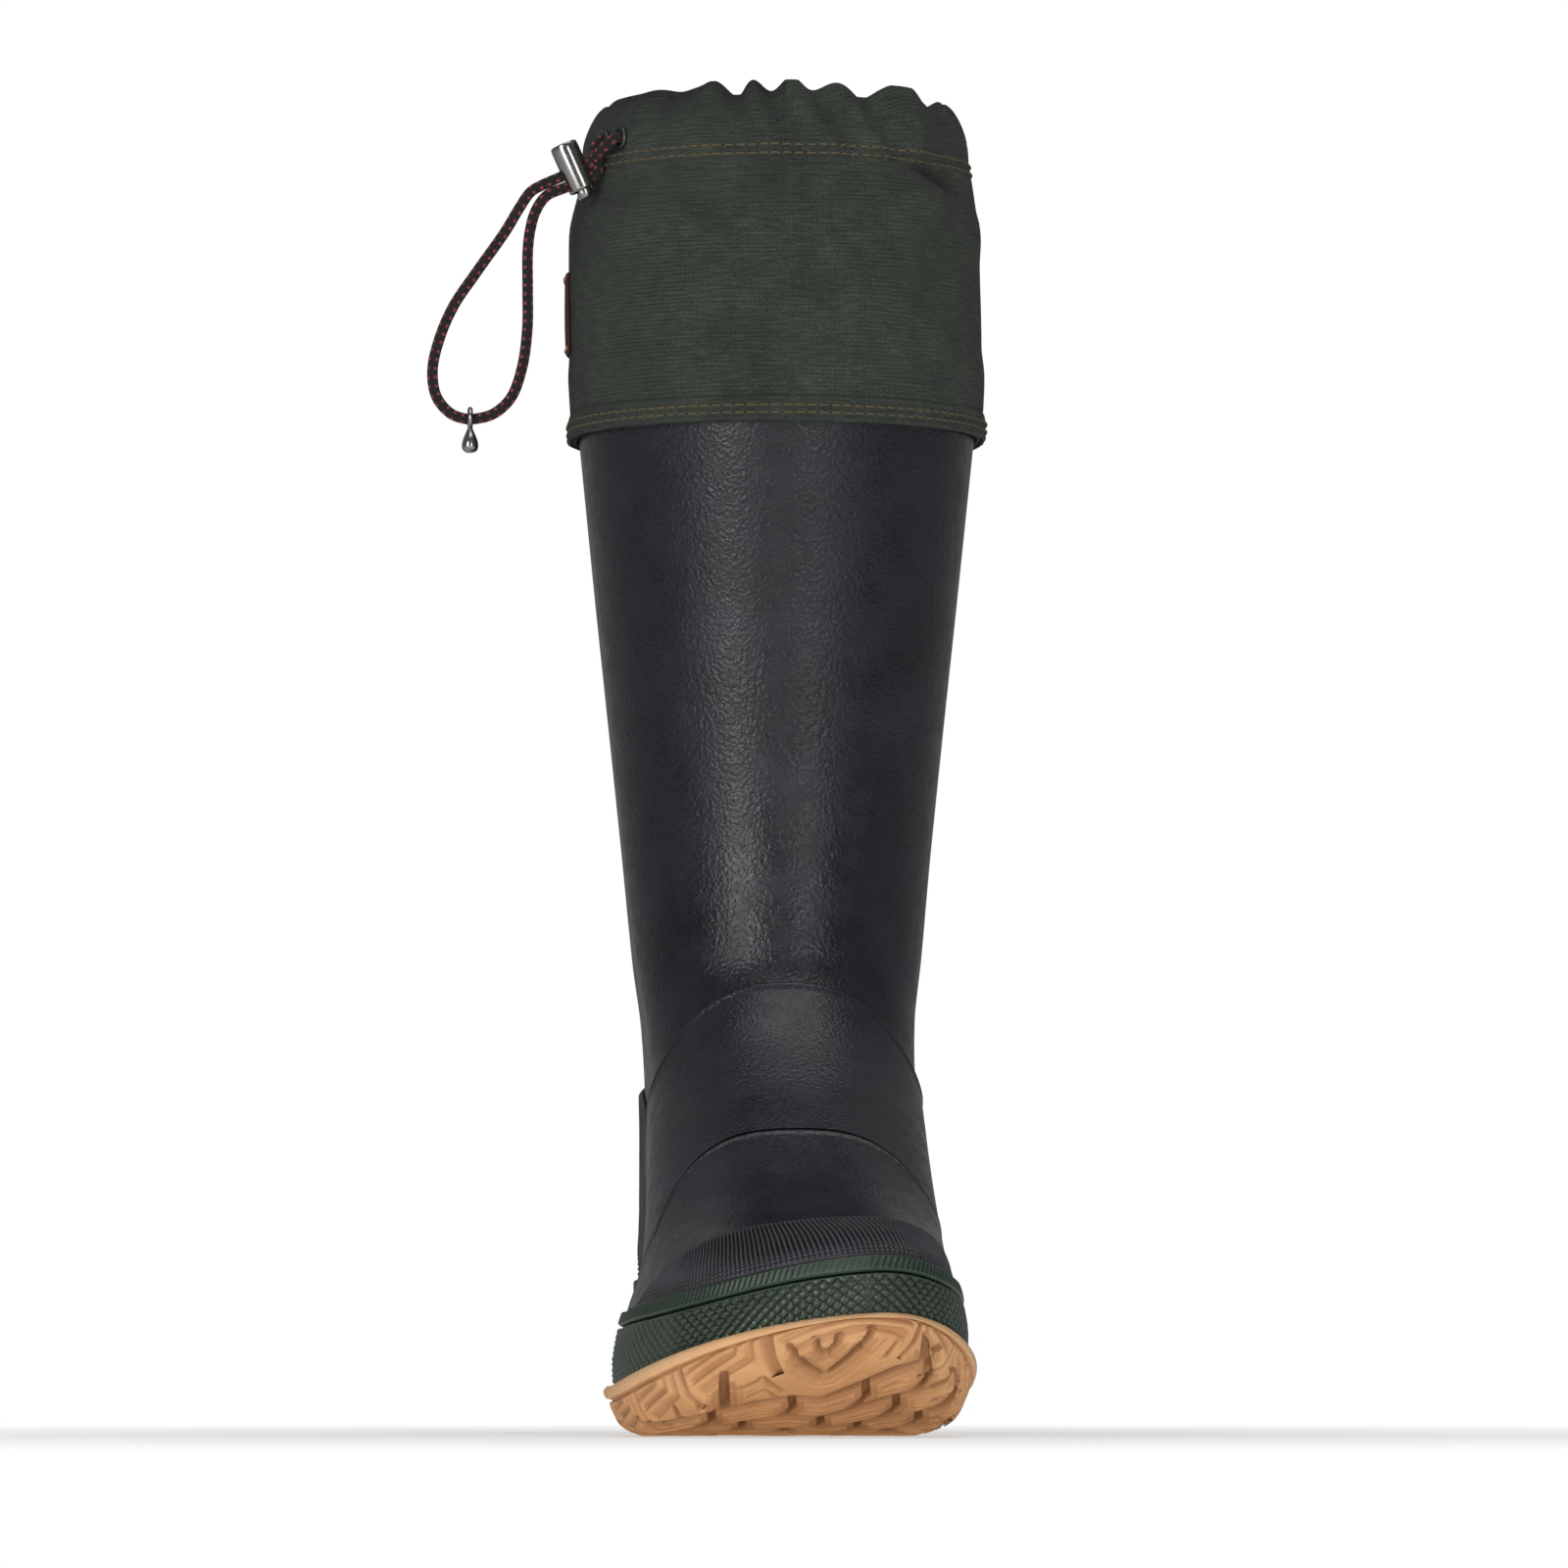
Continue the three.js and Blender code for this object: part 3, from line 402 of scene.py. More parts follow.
def layer(name, columns, low, high, rows, thickness, relief, edge=0.9, closed=False, surface=upper,
          bead=0.0):
    """A layer bonded on a surface between two edge lines, with rounded edges and moulded relief."""
    share = np.linspace(0, 1, rows)
    share = 0.5 * share + 0.5 * (1 - np.cos(share * math.pi)) / 2
    v = lerp(low, np.maximum(high, low + 0.4), share[:, None])
    flat = surface.point(columns, v, GAP + thickness)
    uv = default_uv(flat, closed)
    u, up = uv[:, : len(columns), 0], run_length(flat)
    from_top = up[-1:] - up
    distance = from_top if bead else np.minimum(up, from_top)
    if not closed:
        distance = np.minimum(distance, np.minimum(u, u[:, -1:] - u))
    height = relief(u[rows // 2], up) * smooth((distance - 0.5) / 0.8)
    ridge = bead * np.exp(-((from_top - 1.5) ** 2))
    outer = surface.point(columns, v, GAP + thickness * edge_profile(distance, edge) + height + ridge)
    build = Build(name)
    # The relief height is kept on the mesh, where the moulded rubbers paint shade into its hollows and a
    # highlight onto its crests.
    build.grid(outer, closed, uv, height)
    build.grid(surface.point(columns, v, GAP), closed, uv, flip=True)
    return build


def waves(count, low, high, seed):
    """A smooth random function of an angle: sines with fixed random sizes and phases."""
    dice = random.Random(seed)
    terms = [(k, dice.uniform(0.4, 1) / math.sqrt(count), dice.uniform(0, 6.283))
             for k in dice.sample(range(low, high), count)]
    return lambda angle: sum(size * np.sin(k * angle + phase) for k, size, phase in terms)


# ---- Materials ----


class Tree:
    """Short way to write a node tree."""

    def __init__(self, tree):
        self.tree = tree

    def add(self, kind, inputs=None, **settings):
        node = self.tree.nodes.new("ShaderNode" + kind)
        for key, value in settings.items():
            setattr(node, key, value)
        for key, value in (inputs or {}).items():
            self.feed(node.inputs[key], value)
        return node

    def feed(self, socket, value):
        if isinstance(value, bpy.types.NodeSocket):
            self.tree.links.new(value, socket)
        else:
            socket.default_value = value

    def math(self, operation, a, b=0.0, clamp=False):
        return self.add("Math", {0: a, 1: b}, operation=operation, use_clamp=clamp).outputs[0]

    def span(self, value, low, high, to_low=0.0, to_high=1.0):
        return self.add("MapRange", {0: value, 1: low, 2: high, 3: to_low, 4: to_high}).outputs[0]


class Nodes(Tree):
    """The tree of one material, round its Principled shader."""

    def __init__(self, name, roughness, metallic=0.0, sheen=0.0, specular=0.5):
        self.material = bpy.data.materials.new(name)
        self.material.use_nodes = True
        super().__init__(self.material.node_tree)
        self.shader = self.tree.nodes["Principled BSDF"]
        self.constant("Roughness", roughness)
        self.constant("Metallic", metallic)
        self.constant("Sheen Weight", sheen)
        self.constant("Sheen Roughness", 0.6)
        self.constant("Specular IOR Level", specular)

    def constant(self, socket, value):
        self.shader.inputs[socket].default_value = value

    def uv(self, scale=(1, 1, 1), turn=0.0):
        source = self.add("UVMap", uv_map="millimetres").outputs[0]
        return self.add("Mapping", {"Vector": source, "Scale": scale, "Rotation": (0, 0, turn)}).outputs[0]

    def place(self):
        """Object coordinates in millimetres."""
        source = self.add("TexCoord").outputs["Object"]
        return self.add("Mapping", {"Vector": source, "Scale": (1000, 1000, 1000)}).outputs[0]

    def noise(self, vector, scale, detail, rough=0.5, distortion=0.0):
        inputs = {"Vector": vector, "Scale": scale, "Detail": detail, "Roughness": rough,
                  "Distortion": distortion}
        return self.add("TexNoise", inputs).outputs[0]

    def wave(self, vector, scale, direction="X", distortion=0.0, detail=2.0, detail_scale=1.0):
        inputs = {"Vector": vector, "Scale": scale, "Distortion": distortion, "Detail": detail,
                  "Detail Scale": detail_scale}
        return self.add("TexWave", inputs, wave_type="BANDS", bands_direction=direction).outputs[1]

    def ramp(self, value, *stops):
        """Stops are positions with a colour or, for a grey, one number."""
        node = self.add("ValToRGB", {0: value})
        elements = node.color_ramp.elements
        while len(elements) < len(stops):
            elements.new(0.5)
        for element, (position, colour) in zip(elements, stops):
            element.position = position
            element.color = (*colour, 1) if isinstance(colour, tuple) else (colour, colour, colour, 1)
        return node.outputs[0]

    def mix(self, share, a, b):
        node = self.add("Mix", data_type="RGBA")
        for index, value in ((0, share), (6, a), (7, b)):
            self.feed(node.inputs[index], (*value, 1) if isinstance(value, tuple) else value)
        return node.outputs[2]

    def bump(self, height, distance, strength=1.0, before=None):
        inputs = {"Height": height, "Distance": distance * MM, "Strength": strength}
        if before is not None:
            inputs["Normal"] = before
        return self.add("Bump", inputs).outputs[0]

    def relief(self, low, high):
        """Share of the mesh's moulded relief between two levels."""
        return self.span(self.add("Attribute", attribute_name="relief").outputs["Fac"], low, high)

    def finish(self, colour, normal, roughness=None):
        self.feed(self.shader.inputs["Base Color"], colour)
        self.feed(self.shader.inputs["Normal"], normal)
        if roughness is not None:
            self.feed(self.shader.inputs["Roughness"], roughness)
        return self.material


def srgb(r, g, b):
    """Linear colour of screen values from 0 to 255."""
    return tuple(((c / 255 + 0.055) / 1.055) ** 2.4 if c > 10 else c / 255 / 12.92 for c in (r, g, b))


def rubber_material(name, dark, light, grain, depth, roughness):
    """Black rubber with a fine wrinkled grain and faint scuffs."""
    n = Nodes(name, roughness, specular=0.4)
    p = n.place()
    wrinkle = n.noise(p, grain, 1.0, 0.5, 0.3)
    pebble = n.add("TexVoronoi", {"Vector": p, "Scale": grain * 1.1}, feature="SMOOTH_F1").outputs[0]
    height = n.math("ADD", n.math("MULTIPLY", wrinkle, 0.7), n.math("MULTIPLY", pebble, 0.5))
    cloud = n.ramp(n.noise(p, 0.045, 4.0, 0.6), (0.35, 0), (0.75, 1))
    scuff = n.ramp(n.noise(p, 0.16, 5.0, 0.7), (0.4, roughness - 0.05), (0.7, roughness + 0.12))
    return n.finish(n.mix(cloud, dark, light), n.bump(height, depth, 0.7), scuff)


def moulded_material(name, low, high, roughness, hollow, crest, specular=0.5):
    """Moulded rubber with painted shade darkening its hollows and a painted highlight paling its high spots,
    broken up by a random worn tone.
    """
    n = Nodes(name, roughness, specular=specular)
    p = n.place()
    worn = n.math("ADD", n.noise(p, 0.08, 4.0, 0.6), 0.45)
    # Painted shade and highlight: the colour runs from the dark tone in the relief's hollows to the pale one
    # on its crests.
    share = n.math("MULTIPLY", n.relief(hollow, crest), worn, clamp=True)
    return n.finish(n.mix(share, low, high), n.bump(n.noise(p, 3.0, 3.0, 0.6), 0.06, 0.5))


def canvas_material(name, dark, mid, light):
    """Waxed canvas: a coarse cross rib, slubs, mottled wear and painted shade in the weave's hollows."""
    n = Nodes(name, 0.9, sheen=0.06, specular=0.15)
    weft = n.wave(n.uv(), 0.24, "Y", 0.8, 2.0, 1.5)
    warp = n.wave(n.uv(), 0.38, "X", 1.0, 2.0, 1.5)
    threads = n.math("MULTIPLY", n.math("ADD", weft, 0.35), n.math("ADD", warp, 0.35))
    slub = n.noise(n.uv((0.12, 1.2, 1)), 1.0, 4.0, 0.65)
    cloud = n.noise(n.place(), 0.06, 5.0, 0.65)
    speck = n.noise(n.uv(), 1.1, 2.0, 0.5)
    tone = n.math("ADD", n.math("MULTIPLY", slub, 0.45), n.math("MULTIPLY", cloud, 0.3))
    tone = n.math("ADD", tone, n.math("MULTIPLY", speck, 0.25))
    # Painted shade: the colour darkens between the threads, towards a deeper copy of the dark tone.
    hollow = n.math("MULTIPLY", n.math("SUBTRACT", 1.0, threads, True), 0.85)
    colour = n.ramp(tone, (0.34, dark), (0.5, mid), (0.68, light))
    colour = n.mix(hollow, colour, tuple(c * 0.7 for c in dark))
    return n.finish(colour, n.bump(slub, 0.25, 0.5, n.bump(threads, 0.45)))


def knit_material(name, dark, light, pitch):
    """Brushed knit or felt: soft fuzz over a faint rib."""
    n = Nodes(name, 0.98, sheen=0.5, specular=0.1)
    pile = n.math("ADD", n.noise(n.place(), 1.6, 4.0, 0.7), n.wave(n.uv(), 0.31 / pitch, "X", 1.0, 1.0))
    return n.finish(n.mix(n.math("MULTIPLY", pile, 0.5), dark, light), n.bump(pile, 0.25, 0.6))


def metal_material(name, tone, roughness):
    n = Nodes(name, roughness, metallic=1.0)
    worn = n.noise(n.place(), 2.0, 4.0, 0.7)
    rough = n.ramp(worn, (0.3, roughness * 0.7), (0.8, min(1, roughness * 1.6)))
    return n.finish(n.mix(worn, tuple(c * 0.82 for c in tone), tone), n.bump(worn, 0.02, 0.25), rough)


def gum_material():
    """Tan gum rubber: warm and a little waxy, with painted shade darkening its grooves and a painted
    highlight paling the rim band.
    """
    n = Nodes("gum_rubber", 0.55, specular=0.4)
    n.constant("Subsurface Weight", 0.12)
    n.constant("Subsurface Radius", (0.004, 0.0018, 0.0008))
    n.constant("Subsurface Scale", 0.5)
    p = n.place()
    stops = (0.3, srgb(188, 138, 92)), (0.55, srgb(200, 151, 104)), (0.75, srgb(207, 160, 113))
    tone = n.ramp(n.noise(p, 0.09, 5.0, 0.62), *stops)
    # Painted shade: the grooves get darker brown the deeper they are cut.
    colour = n.mix(n.relief(-4.5, -0.2), n.mix(0.72, tone, srgb(122, 78, 46)), tone)
    # Painted highlight: the rim band, marked by a relief of 1, is paler.
    colour = n.mix(n.math("MULTIPLY", n.relief(0.2, 1.0), 0.6), colour, srgb(228, 186, 140))
    grain = n.noise(p, 1.4, 3.0, 0.6)
    return n.finish(colour, n.bump(grain, 0.08, 0.5), n.ramp(grain, (0.3, 0.48), (0.7, 0.66)))


def cord_material():
    """Braided elastic cord, black with rows of dark red flecks."""
    n = Nodes("braided_cord", 0.8, sheen=0.05, specular=0.25)
    braid = n.math("MAXIMUM", n.wave(n.uv(turn=0.95), 0.33), n.wave(n.uv(turn=-0.95), 0.33))
    parts = n.add("SeparateXYZ", {0: n.uv()}).outputs
    along = n.math("PINGPONG", parts[1], 1.45)
    around = n.math("PINGPONG", n.math("ADD", parts[0], 0.7), 1.37)
    squares = [n.math("POWER", n.math("DIVIDE", away, 0.62), 2.0) for away in (along, around)]
    spot = n.math("LESS_THAN", n.math("ADD", *squares), 1.0)
    thread = n.mix(n.noise(n.place(), 2.0, 2.0), srgb(12, 10, 11), srgb(34, 27, 29))
    red = n.mix(braid, srgb(84, 26, 30), srgb(146, 62, 62))
    return n.finish(n.mix(spot, thread, red), n.bump(braid, 0.3, 0.9))


def plain_material(name, dark, light, scale, roughness):
    """Foam, board, thread or felt: mottled and slightly rough."""
    n = Nodes(name, roughness, specular=0.2)
    value = n.noise(n.place(), scale, 5.0, 0.65)
    return n.finish(n.mix(value, dark, light), n.bump(value, 0.15, 0.5))


BLACK = rubber_material("black_rubber", srgb(20, 20, 26), srgb(31, 31, 39), 0.8, 0.42, 0.34)
BLACK_LAYER = rubber_material("black_rubber_layer", srgb(25, 25, 31), srgb(38, 38, 46), 0.9, 0.36, 0.32)
# These moulded rubbers carry painted shade in their hollows and a painted highlight on their crests.
KNURL = moulded_material("knurled_rubber", srgb(8, 8, 10), srgb(74, 73, 79), 0.5, -0.8, 0.1, specular=0.3)
GREEN = moulded_material("green_rubber", srgb(12, 20, 15), srgb(50, 65, 52), 0.28, -0.8, 0.05)
GREEN_TRIM = moulded_material("green_trim_rubber", srgb(24, 36, 29), srgb(52, 70, 56), 0.42, -0.3, 0.1)
CANVAS = canvas_material("canvas", srgb(32, 37, 32), srgb(62, 69, 60), srgb(94, 101, 90))
GUM = gum_material()
KNIT = knit_material("jersey", srgb(60, 64, 58), srgb(104, 108, 98), 1.2)
FELT = knit_material("felt", srgb(52, 55, 53), srgb(86, 90, 86), 3.0)
NEOPRENE = plain_material("neoprene", srgb(30, 32, 32), srgb(52, 54, 54), 1.5, 0.9)
FOAM = plain_material("foam", srgb(120, 124, 126), srgb(158, 162, 164), 0.8, 0.85)
BOARD = plain_material("fibre_board", srgb(140, 118, 88), srgb(180, 156, 120), 0.5, 0.9)
NICKEL = metal_material("nickel", (0.40, 0.39, 0.38), 0.18)
DARK_METAL = metal_material("blackened_metal", (0.1, 0.1, 0.1), 0.35)
STEEL = metal_material("steel", (0.55, 0.55, 0.56), 0.35)
CORD = cord_material()
THREAD = plain_material("stitching", srgb(66, 62, 47), srgb(94, 88, 68), 2.5, 0.8)
PATCH_WEAVE = plain_material("patch_weave", srgb(62, 30, 32), srgb(92, 50, 50), 1.6, 0.85)
PATCH_THREAD = plain_material("patch_stitching", srgb(150, 116, 100), srgb(190, 160, 138), 2.5, 0.8)


# ---- Free cord: loop, lock and pull ----

CORD_RADIUS = 1.75
CORD_TILT = math.radians(24)
CORD_OUT = np.array([-math.cos(CORD_TILT), 0, -math.sin(CORD_TILT)])
LOCK_DOWN = np.array([math.sin(CORD_TILT), 0, -math.cos(CORD_TILT)])
LOCK_SIDE = np.cross(CORD_OUT, LOCK_DOWN)
LOCK = np.array([-66.0, 41.0, 403.6])
STRAND = 1.85  # from the lock's middle to each strand's
EYELET = dict(y=42, spacing=9, z=415.5, bore=2.1, rim=3.9, thickness=1.3, ring=61.65)


def eyelet_places():
    places = []
    for side in (-1, 1):
        y = EYELET["y"] + side * EYELET["spacing"] / 2
        forward = CUFF_AXIS - CUFF_STRAIGHT - y
        x = -math.sqrt(EYELET["ring"] ** 2 - forward**2)
        out = np.array([x, -forward, 0]) / EYELET["ring"]
        places.append((np.array([x, y, EYELET["z"]]), out))
    return places


def strand(side):
    start = LOCK + LOCK_DOWN * side * STRAND
    return [start + CORD_OUT * along for along in (-4.6, -2, 5, 11.5)]


def lead_in(place_at, out, side):
    """From inside an eyelet to the lock, on a bend that the cord can follow."""
    hook = strand(side)[0] - CORD_OUT * 2.2 - LOCK_DOWN
    bend = lerp(place_at + out * 4 + (0, 0, -1), hook, 0.15)
    return [place_at - out * 2, place_at + out * 2.2, bend, hook]


def in_loop(points):
    return [(x, LOCK[1], z) for x, z in points]


LOOP_OUTER = in_loop([(-80.9, 398.4), (-84.5, 393.2), (-89, 385.6), (-98.3, 372.3), (-105.7, 361.2),
                      (-110.3, 350.2), (-112.3, 340.4), (-111, 332.2), (-106.6, 326.9)])
LOOP_BOTTOM = in_loop([(-101.8, 325.1), (-98.6, 325.1)])
LOOP_INNER = in_loop([(-92.8, 326.7), (-87.2, 331.8), (-83.6, 341.5), (-81.9, 354), (-81.8, 367),
                      (-81.8, 379), (-81, 386.2), (-79.2, 392.4)])


def centripetal(points, per_span):
    """Points of a centripetal Catmull-Rom curve, as the CAD's cord follows."""
    p = [np.asarray(q, float) for q in points]
    p = [2 * p[0] - p[1], *p, 2 * p[-1] - p[-2]]
    out = []
    for a, b, c, d in zip(p, p[1:], p[2:], p[3:]):
        t = np.cumsum([0] + [max(np.linalg.norm(q - r) ** 0.5, 1e-6) for q, r in ((b, a), (c, b), (d, c))])
        for s in np.linspace(t[1], t[2], per_span, endpoint=False):
            ab, bc, cd = (lerp(q, r, (s - i) / (j - i)) for q, r, i, j in
                          ((a, b, t[0], t[1]), (b, c, t[1], t[2]), (c, d, t[2], t[3])))
            abc, bcd = lerp(ab, bc, (s - t[0]) / (t[2] - t[0])), lerp(bc, cd, (s - t[1]) / (t[3] - t[1]))
            out.append(lerp(abc, bcd, (s - t[1]) / (t[2] - t[1])))
    out.append(p[-2])
    return np.array(out)


def tube_grid(path, radius, sides, closed_ends=True):
    """Rows of rings along a path, carried along it without twist."""
    tangent = unit(np.gradient(path, axis=0))
    side = np.cross(tangent[0], (0, 0, 1.0) if abs(tangent[0][2]) < 0.9 else (0, 1.0, 0))
    angle = ring_angles(sides)[:, None]
    rings = []
    for point, ahead in zip(path, tangent):
        side = unit(side - ahead * side.dot(ahead))
        rings.append(point + radius * (np.cos(angle) * side + np.sin(angle) * np.cross(ahead, side)))
    return ended(rings, path) if closed_ends else np.array(rings)


def ended(rings, path):
    """Rings with both ends drawn together to the path's end points."""
    sides = len(rings[0])
    return np.array([np.tile(path[0], (sides, 1)), *rings, np.tile(path[-1], (sides, 1))])


def cord_tube(name, path, radius, sides):
    length = run_length(path)
    length = np.concatenate([[0], length, [length[-1]]])
    around = np.linspace(0, 2 * math.pi * CORD_RADIUS, sides + 1)
    uv = np.stack(np.broadcast_arrays(around[None, :], length[:, None]), axis=-1)
    build = Build(name)
    build.grid(tube_grid(path, radius, sides), True, uv, flip=True)
    return build


def make_loop():
    front, rear = eyelet_places()
    start, end = lead_in(*front, -1), lead_in(*rear, 1)[::-1]
    route = [*start, *strand(-1), *LOOP_OUTER, *LOOP_BOTTOM, *LOOP_INNER, *strand(1)[::-1], *end]
    path = centripetal(route, 14)
    along = run_length(path)
    even = np.linspace(0, along[-1], 520)
    path = np.stack([np.interp(even, along, line) for line in path.T], axis=1)
    return cord_tube("cord_loop", path, CORD_RADIUS, 20).make(CORD, "cord", ["drawcord_loop"]), path


loop, loop_path = make_loop()


# ---- Lathe-turned small parts ----


def lathe_grid(profile, sides, origin, axis, side):
    """Turns (radius, height) points round an axis through origin."""
    axis, side = np.asarray(axis, float), np.asarray(side, float)
    other = np.cross(axis, side)
    angle = ring_angles(sides)[None, :, None]
    r = np.array([p[0] for p in profile])[:, None, None]
    h = np.array([p[1] for p in profile])[:, None, None]
    return origin + h * axis + r * (np.cos(angle) * side + np.sin(angle) * other)


def rounded(profile, radius, steps=4):
    """A profile with its inner corners rounded."""
    points = [np.asarray(p, float) for p in profile]
    out = [points[0]]
    for a, b, c in zip(points, points[1:], points[2:]):
        before, after = a - b, c - b
        reach = min(radius, np.linalg.norm(before) * 0.45, np.linalg.norm(after) * 0.45)
        start, end = b + unit(before) * reach, b + unit(after) * reach
        for t in np.linspace(0, 1, steps):
            out.append((1 - t) ** 2 * start + 2 * t * (1 - t) * b + t**2 * end)
    out.append(points[-1])
    return out


def slot_cutter(low, high):
    """The prism that clears both strands of cord through the lock."""
    radius = CORD_RADIUS + GAP
    outline = []
    for middle, first in ((low + radius, math.pi), (high - radius, 0)):
        for k in range(13):
            angle = first + math.pi * k / 12
            outline.append((radius * math.cos(angle), middle + radius * math.sin(angle)))
    count = len(outline)
    points = [LOCK + LOCK_SIDE * x + LOCK_DOWN * y + CORD_OUT * along
              for along in (-9, 9) for x, y in outline]
    faces = [(i, (i + 1) % count, (i + 1) % count + count, i + count) for i in range(count)]
    faces += [tuple(range(count))[::-1], tuple(range(count, 2 * count))]
    mesh = bpy.data.meshes.new("cutter")
    mesh.from_pydata([tuple(point) for point in in_metres(points)], [], faces)
    bm = bmesh.new()
    bm.from_mesh(mesh)
    bmesh.ops.recalc_face_normals(bm, faces=bm.faces)
    bm.to_mesh(mesh)
    bm.free()
    return linked("cutter", mesh)


def cut_slot(obj, low, high):
    """Cuts the cord's way through a piece of the lock and keeps the cut mesh."""
    cutter = slot_cutter(low, high)
    modifier = obj.modifiers.new("slot", "BOOLEAN")
    modifier.operation = "DIFFERENCE"
    modifier.solver = "EXACT"
    modifier.object = cutter
    mesh = bpy.data.meshes.new_from_object(obj.evaluated_get(bpy.context.evaluated_depsgraph_get()))
    obj.modifiers.clear()
    obj.data = mesh
    mesh.polygons.foreach_set("use_smooth", np.ones(len(mesh.polygons), bool))
    bpy.data.objects.remove(cutter)


def lock_part(name, body, node, profile, sides, slot_end):
    """A turned part of the lock with the slot for the cord through it."""
    build = Build(name, body)
    build.grid(lathe_grid(profile, sides, LOCK, LOCK_DOWN, LOCK_SIDE), True, flip=True)
    part = build.make(NICKEL, "nickel", [node])
    cut_slot(part, -STRAND - CORD_RADIUS - GAP, slot_end)
    return part


def make_lock():
    up, down, bore, radius, wall = 11.2, 4.9, 3.15, 4.5, 1.3
    plunger_radius, plunger_top, plunger_end, travel = 2.8, -5.2, 7.7, 2.5
    coil, wire, turns, steps = 2.1, 0.2, 3, 96
    seat, reach = 1.6 - up, STRAND + CORD_RADIUS + GAP
    shell = [(0, -up), (radius - 0.2, -up), (radius, seat), (radius, down - 0.5), (radius - 0.3, down),
             (bore, down), (bore, wall - up), (0, wall - up)]
    barrel = lock_part("cord_lock_barrel", "cord_lock", "lock_barrel", rounded(shell, 0.5), 72, reach)
    rod = [(0, plunger_top), (plunger_radius, plunger_top), (plunger_radius, plunger_end - 1.3),
           (plunger_radius - 0.45, plunger_end), (0, plunger_end)]
    plunger = lock_part("cord_lock_plunger", "plunger", "lock_plunger", rounded(rod, 0.4), 56, reach + travel)
    angle = np.linspace(0, turns * 2 * math.pi, steps)[:, None]
    height = np.linspace(seat + wire, plunger_top - GAP - wire, steps)[:, None]
    turn = np.cos(angle) * LOCK_SIDE + np.sin(angle) * np.cross(LOCK_DOWN, LOCK_SIDE)
    path = LOCK + height * LOCK_DOWN + coil * turn
    spring = Build("cord_lock_spring", "cord_lock").grid(tube_grid(path, wire, 8), True, flip=True)
    spring = spring.make(STEEL, "steel", ["lock_spring"])
    anchor = in_metres(LOCK + LOCK_DOWN * seat)
    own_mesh(spring)
    return [barrel, plunger, spring]


def make_pull():
    """Teardrop pull: an eye round the cord with a faceted drop under it."""
    centre = np.array([-100.2, LOCK[1], 325.1])
    eye, wire = 3.05, 0.85
    angle = np.linspace(0, 2 * math.pi, 49)
    path = centre + eye * np.stack([0 * angle, np.cos(angle), np.sin(angle)], axis=1)
    drop = [(0, -11), (1.5, -10.9), (2.35, -10.2), (2.72, -9.1), (2.6, -7.6), (2.05, -5.9), (1.35, -4.4),
            (0.9, -3.2), (0, -3.0)]
    pull = Build("cord_pull_drop", "pull")
    pull.grid(tube_grid(path, wire, 14, False), True, flip=True)
    pull.grid(lathe_grid(rounded(drop, 0.6, 3), 16, centre, (0, 0, 1), (1, 0, 0)), True)
    return pull.make(NICKEL, "nickel", ["cord_pull"])


def make_eyelets():
    bore, rim, thickness = EYELET["bore"], EYELET["rim"], EYELET["thickness"]
    profile = [(bore, -0.2), (rim, 0.15), (rim, 0.15 + thickness * 0.6), (bore + 0.9, thickness),
               (bore, thickness * 0.7), (bore, -0.2)]
    for side, (middle, out) in zip(("front", "rear"), eyelet_places()):
        build = Build(f"eyelet_ring_{side}")
        build.grid(lathe_grid(rounded(profile, 0.35), 40, middle + out * 0.45, out, (0, 0, 1)), True)
        build.make(DARK_METAL, "nickel", [f"eyelet_{side}"])


lock_pieces = make_lock()
pull_piece = make_pull()
make_eyelets()
loop_length = float(run_length(loop_path)[-1]) * MM
path_m = in_metres(loop_path).tolist()


# ---- Upper ----


def make_shell():
    """The black rubber shell: a closed wall round the foot and leg, slightly uneven."""
    columns = all_round(224)
    v = np.concatenate([np.linspace(10.7, 60, fine(34)), np.linspace(61, 325, fine(120))])
    v = v[:, None]
    angle = columns / COLUMNS * 2 * math.pi
    sag = waves(5, 2, 7, 3)(angle) * np.sin(v / 38) * 0.35 * smooth((v - 110) / 60) * smooth((318 - v) / 60)
    outer = upper.point(columns, v, sag)
    inner = upper.point(columns, v, -WALL["rubber"])
    rim = [upper.point(columns, v[-1:], depth) + (0, 0, 0.4) for depth in (-0.6, -1.9)]
    build = Build("shell_rubber")
    build.grid(np.concatenate([outer, *rim, inner[::-1], upper.point(columns, v[:1])]), True)
    build.make(BLACK, "black_rubber", ["rubber_upper"])


def make_sock(name, node, offset, thickness, low, top, material, slot):
    """A sock from a little above the footbed to its top edge, with a rounded rim."""
    columns = all_round(160)
    v = np.linspace(low, top, fine(120))[:, None]
    outer = upper.point(columns, v, offset)
    inner = upper.point(columns, v, offset - thickness)
    rim = [upper.point(columns, v[-1:], offset - thickness * t)
           + (0, 0, math.sin(math.pi * t) * thickness * 0.4) for t in (0.15, 0.35, 0.5, 0.65, 0.85)]
    build = Build(name)
    build.grid(np.concatenate([outer, *rim, inner[::-1]]), True)
    for ring, flip in ((inner[0], False), (outer[0], True)):
        right, left = halves(ring)
        build.grid(lerp(right, left, np.linspace(0, 1, 14)[:, None, None]), flip=flip)
    build.make(material, slot, [node])


def halves(ring):
    """The two sides of a ring, each from toe to heel."""
    half = len(ring) // 2
    return ring[: half + 1], np.concatenate([ring[:1], ring[: half - 1 : -1]])


# ---- Relief of the moulded rubber ----


